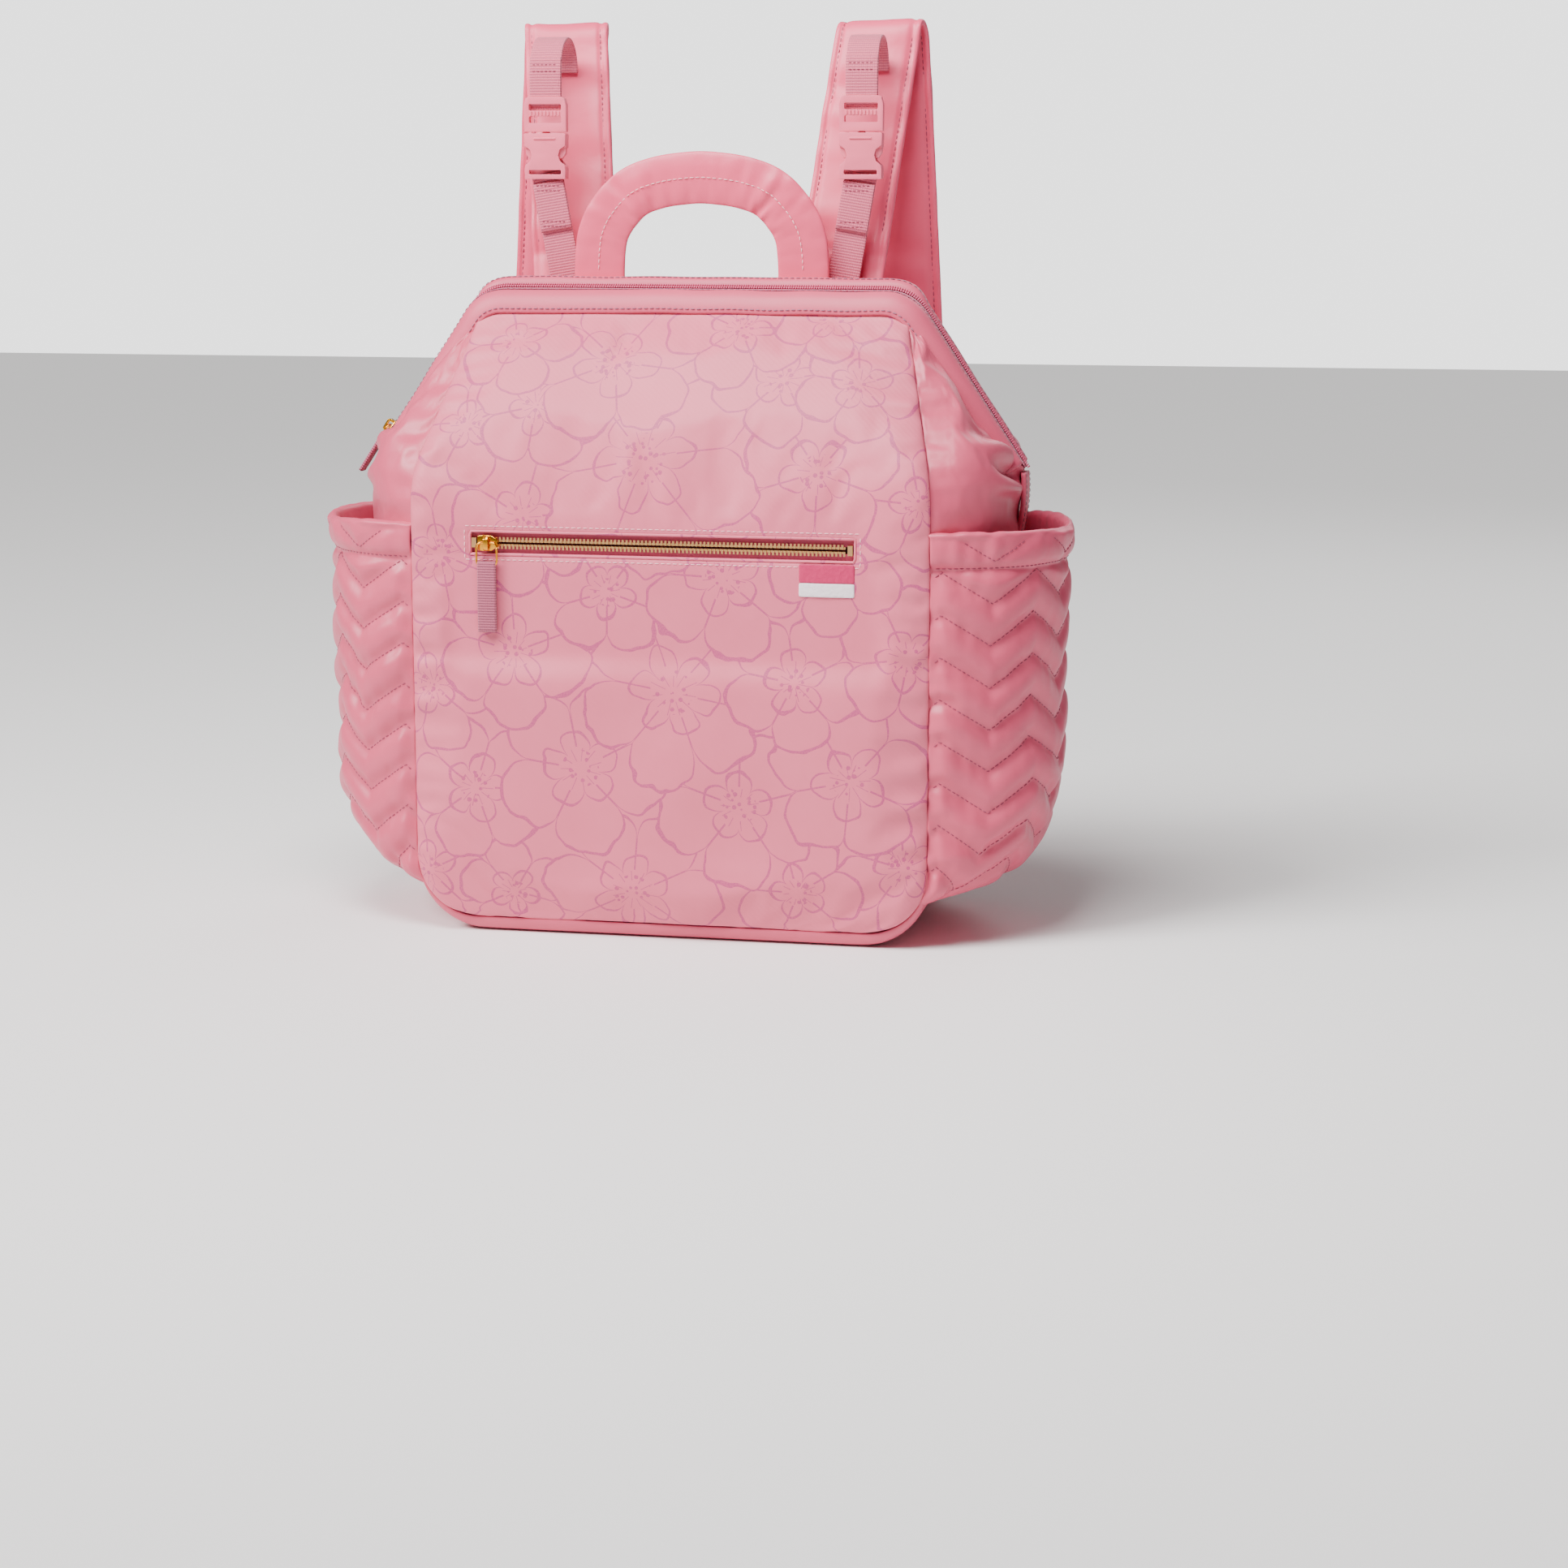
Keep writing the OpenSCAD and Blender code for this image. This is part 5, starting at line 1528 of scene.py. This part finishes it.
@dataclass
class ShoulderStrap:
    """Padded shoulder strap, folded behind the bar, with webbing and adjuster at its foot."""

    size: Measures
    side: Side
    width: float = 54.0
    thick: float = 8.0

    def build(self, fin: Finishes) -> None:
        """Builds the strap and its fittings."""
        s = self.side.value
        top = corners(f"shoulder_strap_{self.side.word}")[1][2]
        pts = np.array([(84, 26.5, 389), (93, 51, 476), (100, 71, 543), (101, 74.5, top - 4), (102, 80.0, top - 2),
                        (104, 85.5, top - 8), (107, 86, 500), (113, 85.5, 390), (126, 85, 150), (130, 84.6, 78)],
                       dtype=float)
        path = polyline(pts, 4.0, 14.0) * [s, 1, 1]
        across = np.tile([float(s), 0.0, 0.0], (len(path), 1))
        along_total = 4.0 * (len(path) - 1)

        def swell(along: Array, a: Array) -> Array:
            """Padding between two stitched edges, with soft creases."""
            pad = 1.0 * (1 - (a / 27) ** 2) - 1.4 * np.exp(-((np.abs(a) - 22.5) / 1.5) ** 2)
            ends = smooth_step(np.minimum(along, along_total - along), 0, 40)
            crease = waves(along, a * 0.4, 26, 90 + s) * 1.2 * ends
            yoke = -1.2 * np.exp(-((along - 28) / 2.0) ** 2)
            return pad * ends - 1.2 * (1 - ends) + crease + yoke

        obj = sweep(f"shoulder_strap_cloth_{self.side.word}", path, across,
                    oval(self.width, self.thick - 2.2, 52, 6), swell=swell)
        modify(obj, "SUBSURF", levels=1, render_levels=1)
        place(obj, fin.strap, "bag", [f"shoulder_strap_{self.side.word}"])
        tangent = unit(np.gradient(path, axis=0))
        normal = unit(np.cross(across, tangent))
        runs = []
        for f in (-1, 1):
            for edge in (-22.5, 22.5):
                line = path + across * edge + normal * f * ((self.thick - 2.2) / 2 - 1.0)
                runs.append((line[8:-8], normal[8:-8] * f))
        place(stitches(f"shoulder_strap_thread_{self.side.word}", runs, 2.8, 3.7, 0.3), fin.dark_thread,
              "bag")
        self.fittings(fin)
        LOG.info("shoulder strap %s built", self.side.word)

    def fittings(self, fin: Finishes) -> None:
        """Adjusting webbing and ladder-lock adjuster."""
        word = self.side.word
        low, high = corners(f"strap_webbing_{word}")
        x = (low[0] + high[0]) / 2
        y = corners(f"strap_adjuster_{word}")[0][1] + 2.6
        pts = np.array([(x, low[1] + 0.6, low[2] + 1), (x, y - 1.2, low[2] + 1.2), (x, y, low[2] + 6),
                        (x, y, high[2] + 6)])
        path = polyline(pts, 2.0, 4.0)
        obj = sweep(f"strap_tail_{word}", path, np.tile([1.0, 0.0, 0.0], (len(path), 1)), oval(20, 1.5, 16, 6))
        place(obj, fin.webbing, "bag", [f"strap_webbing_{word}"])
        low, high = corners(f"strap_adjuster_{word}")
        mid = (low + high) / 2
        x_dir, z_dir = np.array([1.0, 0.0, 0.0]), np.array([0.0, 0.0, 1.0])
        slots = [rounded_box(10.9, 1.7, 0.8) + np.array([0, dz]) for dz in (3.3, -3.3)]
        back = slab("adj_back", rounded_box(14, 9, 3), 2.0, mid + np.array([0, 1.7, 0]), x_dir, z_dir, 0.6, slots)
        rim = slab("adj_side", rounded_box(14, 9, 3), 1.4, mid + np.array([0, -1.9, 0]), x_dir, z_dir, 0.5,
                   [rounded_box(10.6, 6.6, 2)])
        posts = [slab(f"adj_post_{k}", rounded_box(1.4, 7.5, 0.6), 4.0, mid + np.array([k * 12.2, 0, 0]), x_dir,
                      z_dir, 0.4) for k in (-1, 1)]
        obj = joined(f"ladder_lock_{word}", [back, rim, *posts])
        place(obj, fin.resin, f"adjuster_{word}", [f"strap_adjuster_{word}"])


@dataclass
class BarLoop:
    """Webbing and side-release buckle of one loop for the pushchair bar."""

    size: Measures
    side: Side

    def build(self, fin: Finishes) -> None:
        """Builds the webbing, the socket, the plug and its prongs."""
        self.webbing(fin)
        self.socket(fin)
        self.plug(fin)
        LOG.info("bar loop %s built", self.side.word)

    def webbing(self, fin: Finishes) -> None:
        """Lower webbing with its sewn tail, and upper webbing over the bar."""
        word, s = self.side.word, self.side.value
        low = corners(f"loop_webbing_lower_{word}")
        sock = corners(f"buckle_socket_{word}")
        cx = (sock[0][0] + sock[1][0]) / 2
        cy = (sock[0][1] + sock[1][1]) / 2
        foot = np.array([s * 86.0, 20.9, low[0][2] - 1.5])
        end = np.array([cx, cy + 0.4, sock[0][2] + 4])
        path = polyline(np.array([foot, end]), 3.0)
        across = np.tile([1.0, 0.0, 0.0], (len(path), 1))
        obj = sweep(f"loop_web_lower_{word}", path, across, oval(20, 1.6, 18, 6))
        place(obj, fin.webbing, "bag", [f"loop_webbing_lower_{word}"])
        pick = (path[:, 2] > 428) & (path[:, 2] < 459)
        tail = path[pick] + np.array([0, -1.75, 0])
        obj = sweep(f"loop_web_tail_{word}", tail, across[pick], oval(20, 1.6, 18, 6))
        place(obj, fin.webbing, "bag")
        runs = []
        for k, z in enumerate((431.0, 434.0, 453.0, 456.0)):
            i = int(np.argmin(np.abs(path[:, 2] - z)))
            xs = np.linspace(-8.5, 8.5, 8)
            line = path[i] + np.stack([xs, np.full(8, -2.6), np.full(8, z - path[i, 2])], axis=1)
            runs.append((line, np.tile([0.0, -1.0, 0.0], (8, 1))))
        place(stitches(f"loop_web_thread_{word}", runs, 2.0, 2.6, 0.28), fin.dark_thread, "bag")
        up_low, up_high = corners(f"loop_webbing_upper_{word}")
        r = (up_high[2] - 0.8) - (up_high[2] - 20.6)
        bar_y, bar_z = up_low[1] + 20.6, up_high[2] - 20.6
        arcs = np.linspace(math.pi, -0.05, 26)
        pts = [(cx, bar_y - r, up_low[2] - 1.5), (cx, bar_y - r, bar_z - 4)]
        pts += [(cx, bar_y + r * math.cos(a), bar_z + r * math.sin(a)) for a in arcs]
        path = polyline(np.array(pts), 2.0)
        obj = sweep(f"loop_web_upper_{word}", path, np.tile([1.0, 0.0, 0.0], (len(path), 1)), oval(20, 1.6, 18, 6))
        place(obj, fin.webbing, "bag", [f"loop_webbing_upper_{word}"])
        below = polyline(np.array([(cx, bar_y - r - 1.7, up_low[2] + 5.0), (cx, bar_y - r - 1.7, bar_z - 2),
                                   (cx, bar_y - r * 0.93 - 1.6, bar_z + 7.4)]), 2.0, 6)
        obj = sweep(f"loop_web_upper_tail_{word}", below, np.tile([1.0, 0.0, 0.0], (len(below), 1)),
                    oval(20, 1.6, 18, 6))
        place(obj, fin.webbing, "bag")
        runs = []
        for z in (bar_z - 1.0, bar_z + 3.0):
            xs = np.linspace(-8.5, 8.5, 8)
            line = np.stack([cx + xs, np.full(8, bar_y - r - 2.5 + (z > bar_z) * 0.8), np.full(8, z)], axis=1)
            runs.append((line, np.tile([0.0, -1.0, 0.0], (8, 1))))
        place(stitches(f"loop_web_upper_thread_{word}", runs, 2.0, 2.6, 0.28), fin.dark_thread, "bag")

    def centre(self, node: str) -> tuple[Array, Array, Array]:
        """Centre, low corner and high corner of one of this loop's CAD nodes."""
        low, high = corners(node)
        return (low + high) / 2, low, high

    def socket(self, fin: Finishes) -> None:
        """Socket: front and back shells with curved windows at the sides."""
        word = self.side.word
        mid, low, high = self.centre(f"buckle_socket_{word}")
        x_dir, z_dir = np.array([1.0, 0.0, 0.0]), np.array([0.0, 0.0, 1.0])
        face = np.array([(-13, 0), (-13.2, 6), (-12.6, 8.5), (-9.6, 11), (-8.6, 14.5), (-9.6, 18), (-13.2, 20.5),
                         (-13.5, 27.5), (-12.5, 28), (12.5, 28), (13.5, 27.5), (13.2, 20.5), (9.6, 18),
                         (8.6, 14.5), (9.6, 11), (12.6, 8.5), (13.2, 6), (13, 0)])
        base = np.array([mid[0], mid[1], low[2]])
        parts = []
        for f in (-1, 1):
            parts.append(slab(f"sock_face_{f}", face, 1.9, base + np.array([0, f * 3.5, 0]), x_dir, z_dir, 0.7,
                              [rounded_box(10.3, 1.3, 0.6) + np.array([0, 4.2])] if f < 0 else []))
        for k in (-1, 1):
            parts.append(slab(f"sock_rail_{k}", rounded_box(0.9, 4.3, 0.5), 6.4,
                              base + np.array([k * 12.5, 0, 23.4]), x_dir, z_dir, 0.4))
            parts.append(slab(f"sock_foot_{k}", rounded_box(0.8, 4.0, 0.5), 6.4,
                              base + np.array([k * 12.2, 0, 4.2]), x_dir, z_dir, 0.4))
        parts.append(slab("sock_ridge", rounded_box(7.0, 0.6, 0.5), 1.0, base + np.array([0, -4.6, 24.8]),
                          x_dir, z_dir, 0.3))
        obj = joined(f"buckle_socket_shell_{word}", parts)
        place(obj, fin.resin, "bag", [f"buckle_socket_{word}"])

    def plug(self, fin: Finishes) -> None:
        """Plug head with its ribbed ladder bar, guide tongue and two prongs."""
        word, s = self.side.word, self.side.value
        mid, low, high = self.centre(f"buckle_plug_{word}")
        x_dir, z_dir = np.array([1.0, 0.0, 0.0]), np.array([0.0, 0.0, 1.0])
        head_z = high[2] - 22
        base = np.array([mid[0], mid[1], head_z])
        outline = np.array([(-13.5, 0.6), (-13.6, 17), (-12.4, 21), (-10.5, 22), (10.5, 22), (12.4, 21),
                            (13.6, 17), (13.5, 0.6)])
        slots = [rounded_box(10.4, 2.1, 0.8) + np.array([0, 8.0]), rounded_box(10.4, 2.0, 0.8) + np.array([0, 15.6])]
        head = slab("plug_head", outline, 5.6, base, x_dir, z_dir, 0.9, slots)
        parts = [head]
        for i in range(9):
            parts.append(slab(f"plug_rib_{i}", rounded_box(0.55, 1.5, 0.4), 0.9,
                              base + np.array([-9.0 + i * 2.25, -3.0, 11.8]), x_dir, z_dir, 0.25))
        parts.append(slab("plug_tongue", rounded_box(2.5, 9.2, 1.2), 3.6, base + np.array([0, 0, -8.6]), x_dir,
                          z_dir, 0.6))
        obj = joined(f"buckle_plug_head_{word}", parts)
        place(obj, fin.resin, "bag", [f"buckle_plug_{word}"])
        prong = np.array([(7.6, 0), (10.2, 0), (10.4, -5), (13.2, -8.4), (12.9, -12.5), (10.8, -15.8), (8.4, -15.8),
                          (7.5, -12)])
        for k, name in ((1, "outer"), (-1, "inner")):
            shape = prong * [s * k, 1]
            shape = shape if s * k > 0 else shape[::-1]
            obj = slab(f"buckle_prong_{word}_{name}", shape, 4.2, base, x_dir, z_dir, 0.5)
            obj = joined(f"buckle_prong_arm_{word}_{name}", [obj])
            place(obj, fin.resin, f"prong_{word}_{name}", [f"prong_{word}_{name}"])


@dataclass
class CarriedNodes:
    """CAD nodes that keep their own shape and only get a finish."""

    def build(self, fin: Finishes) -> None:
        """Gives each carried node its material."""
        looks = {
            "front_frame_wire": fin.steel, "rear_frame_wire": fin.steel, "front_wire_tips": fin.resin,
            "rear_wire_tips": fin.resin, "back_foam": fin.foam, "base_board": fin.board,
            "pocket_zip_tape": fin.tape, "pocket_zip_teeth": fin.teeth, "pocket_zip_stops": fin.teeth,
            "pocket_pouch": fin.satin,
        }
        for name, material in looks.items():
            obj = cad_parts[name]
            obj.data.materials.clear()
            obj.data.materials.append(material)
        LOG.info("%d CAD nodes dressed", len(looks))


@dataclass
class Studio:
    """Plain pale floor, soft lights and the camera."""

    azimuth: float = 13.0
    elevation: float = 6.7
    distance: float = 2.0
    target: tuple[float, float, float] = (0.0, -0.02, 0.23)
    # Where the target falls in the frame, from the middle, as a share of the frame's width
    aim_x: float = -0.0590
    aim_y: float = 0.1460
    focal: float = 73.6

    def build(self) -> None:
        """Builds floor, world, lights and camera."""
        floor = new_object("studio_floor", np.array([(-6000, -6000, -0.6), (6000, -6000, -0.6),
                                                     (6000, 6000, -0.6), (-6000, 6000, -0.6)]), [(0, 1, 2, 3)])
        mat, tree, skin = fresh("pale_studio_floor")
        skin.inputs["Base Color"].default_value = linear("#f4f2f1")
        skin.inputs["Roughness"].default_value = 0.8
        floor.data.materials.append(mat)
        world = bpy.data.worlds.new("studio")
        world.use_nodes = True
        world.node_tree.nodes["Background"].inputs["Color"].default_value = linear("#fbfafa")
        world.node_tree.nodes["Background"].inputs["Strength"].default_value = 0.17
        self.bright_backdrop(world.node_tree)
        bpy.context.scene.world = world
        lamps = (("key", (-1.9, -1.0, 1.6), 0.9, 28.0), ("fill", (1.9, -1.7, 0.9), 1.2, 0.4),
                 ("rim", (0.7, 1.8, 1.5), 1.0, 11.0), ("top", (-0.05, -0.6, 1.3), 0.6, 21.0))
        for name, place_, size, power in lamps:
            light = bpy.data.lights.new(name, "AREA")
            light.size = size
            light.energy = power
            obj = bpy.data.objects.new(name, light)
            obj.location = place_
            look = np.array([0.0, 0.0, 0.28]) - np.array(place_)
            obj.rotation_euler = self.facing(look)
            bpy.context.scene.collection.objects.link(obj)
        sun = bpy.data.lights.new("sky_panel", "SUN")
        sun.energy = 3.6
        sun.angle = math.radians(24)
        lamp = bpy.data.objects.new("sky_panel", sun)
        lamp.rotation_euler = self.facing(np.array([0.72, 0.62, -0.85]))
        bpy.context.scene.collection.objects.link(lamp)
        self.camera()

    @staticmethod
    def bright_backdrop(tree: bpy.types.NodeTree) -> None:
        """Shows the backdrop near white, while it lights the bag at its own softer strength."""
        lit = tree.nodes["Background"]
        seen = add(tree, "ShaderNodeBackground", {"Color": linear("#fdfdfd"), "Strength": 2.4})
        ray = add(tree, "ShaderNodeLightPath")
        both = add(tree, "ShaderNodeMixShader", {0: ray.outputs["Is Camera Ray"], 1: lit.outputs[0],
                                                 2: seen.outputs[0]})
        tree.links.new(both.outputs[0], tree.nodes["World Output"].inputs["Surface"])

    @staticmethod
    def facing(direction: Array) -> tuple[float, float, float]:
        """Euler angles that point a light or camera along a direction."""
        d = unit(direction)
        return (math.acos(-d[2]), 0.0, math.atan2(-d[0], d[1]))

    def camera(self) -> None:
        """Places the camera, turned so that the bag sits up and left of the middle."""
        az, el = math.radians(self.azimuth), math.radians(self.elevation)
        back = np.array([math.sin(az) * math.cos(el), -math.cos(az) * math.cos(el), math.sin(el)])
        eye = np.array(self.target) + back * self.distance
        forward = -back
        right = unit(np.cross(forward, np.array([0.0, 0.0, 1.0])))
        up = np.cross(right, forward)
        span = 36.0 / self.focal
        look = unit(forward - right * self.aim_x * span - up * self.aim_y * span)
        cam = bpy.data.objects.new("camera", bpy.data.cameras.new("camera"))
        cam.data.lens = self.focal
        cam.data.sensor_width = 36.0
        cam.location = eye
        cam.rotation_euler = self.facing(look)
        bpy.context.scene.collection.objects.link(cam)
        bpy.context.scene.camera = cam


def main() -> None:
    """Builds the bag and its studio in order."""
    logging.basicConfig(level=logging.INFO, format="%(message)s")
    fin = Finishes()
    size = Measures.from_frame()
    Studio().build()
    front = FrontCloth(size)
    front.build(fin)
    BodyShell(size, front).build(fin)
    FrameMouth(size).build(fin)
    PocketZip(size, front).build(fin)
    CarryHandle(size).build(fin)
    for side in Side:
        SidePocket(size, front, side).build(fin)
        ShoulderStrap(size, side).build(fin)
        BarLoop(size, side).build(fin)
    CarriedNodes().build(fin)
    bpy.context.view_layer.update()


if __name__ == "__main__":
    main()
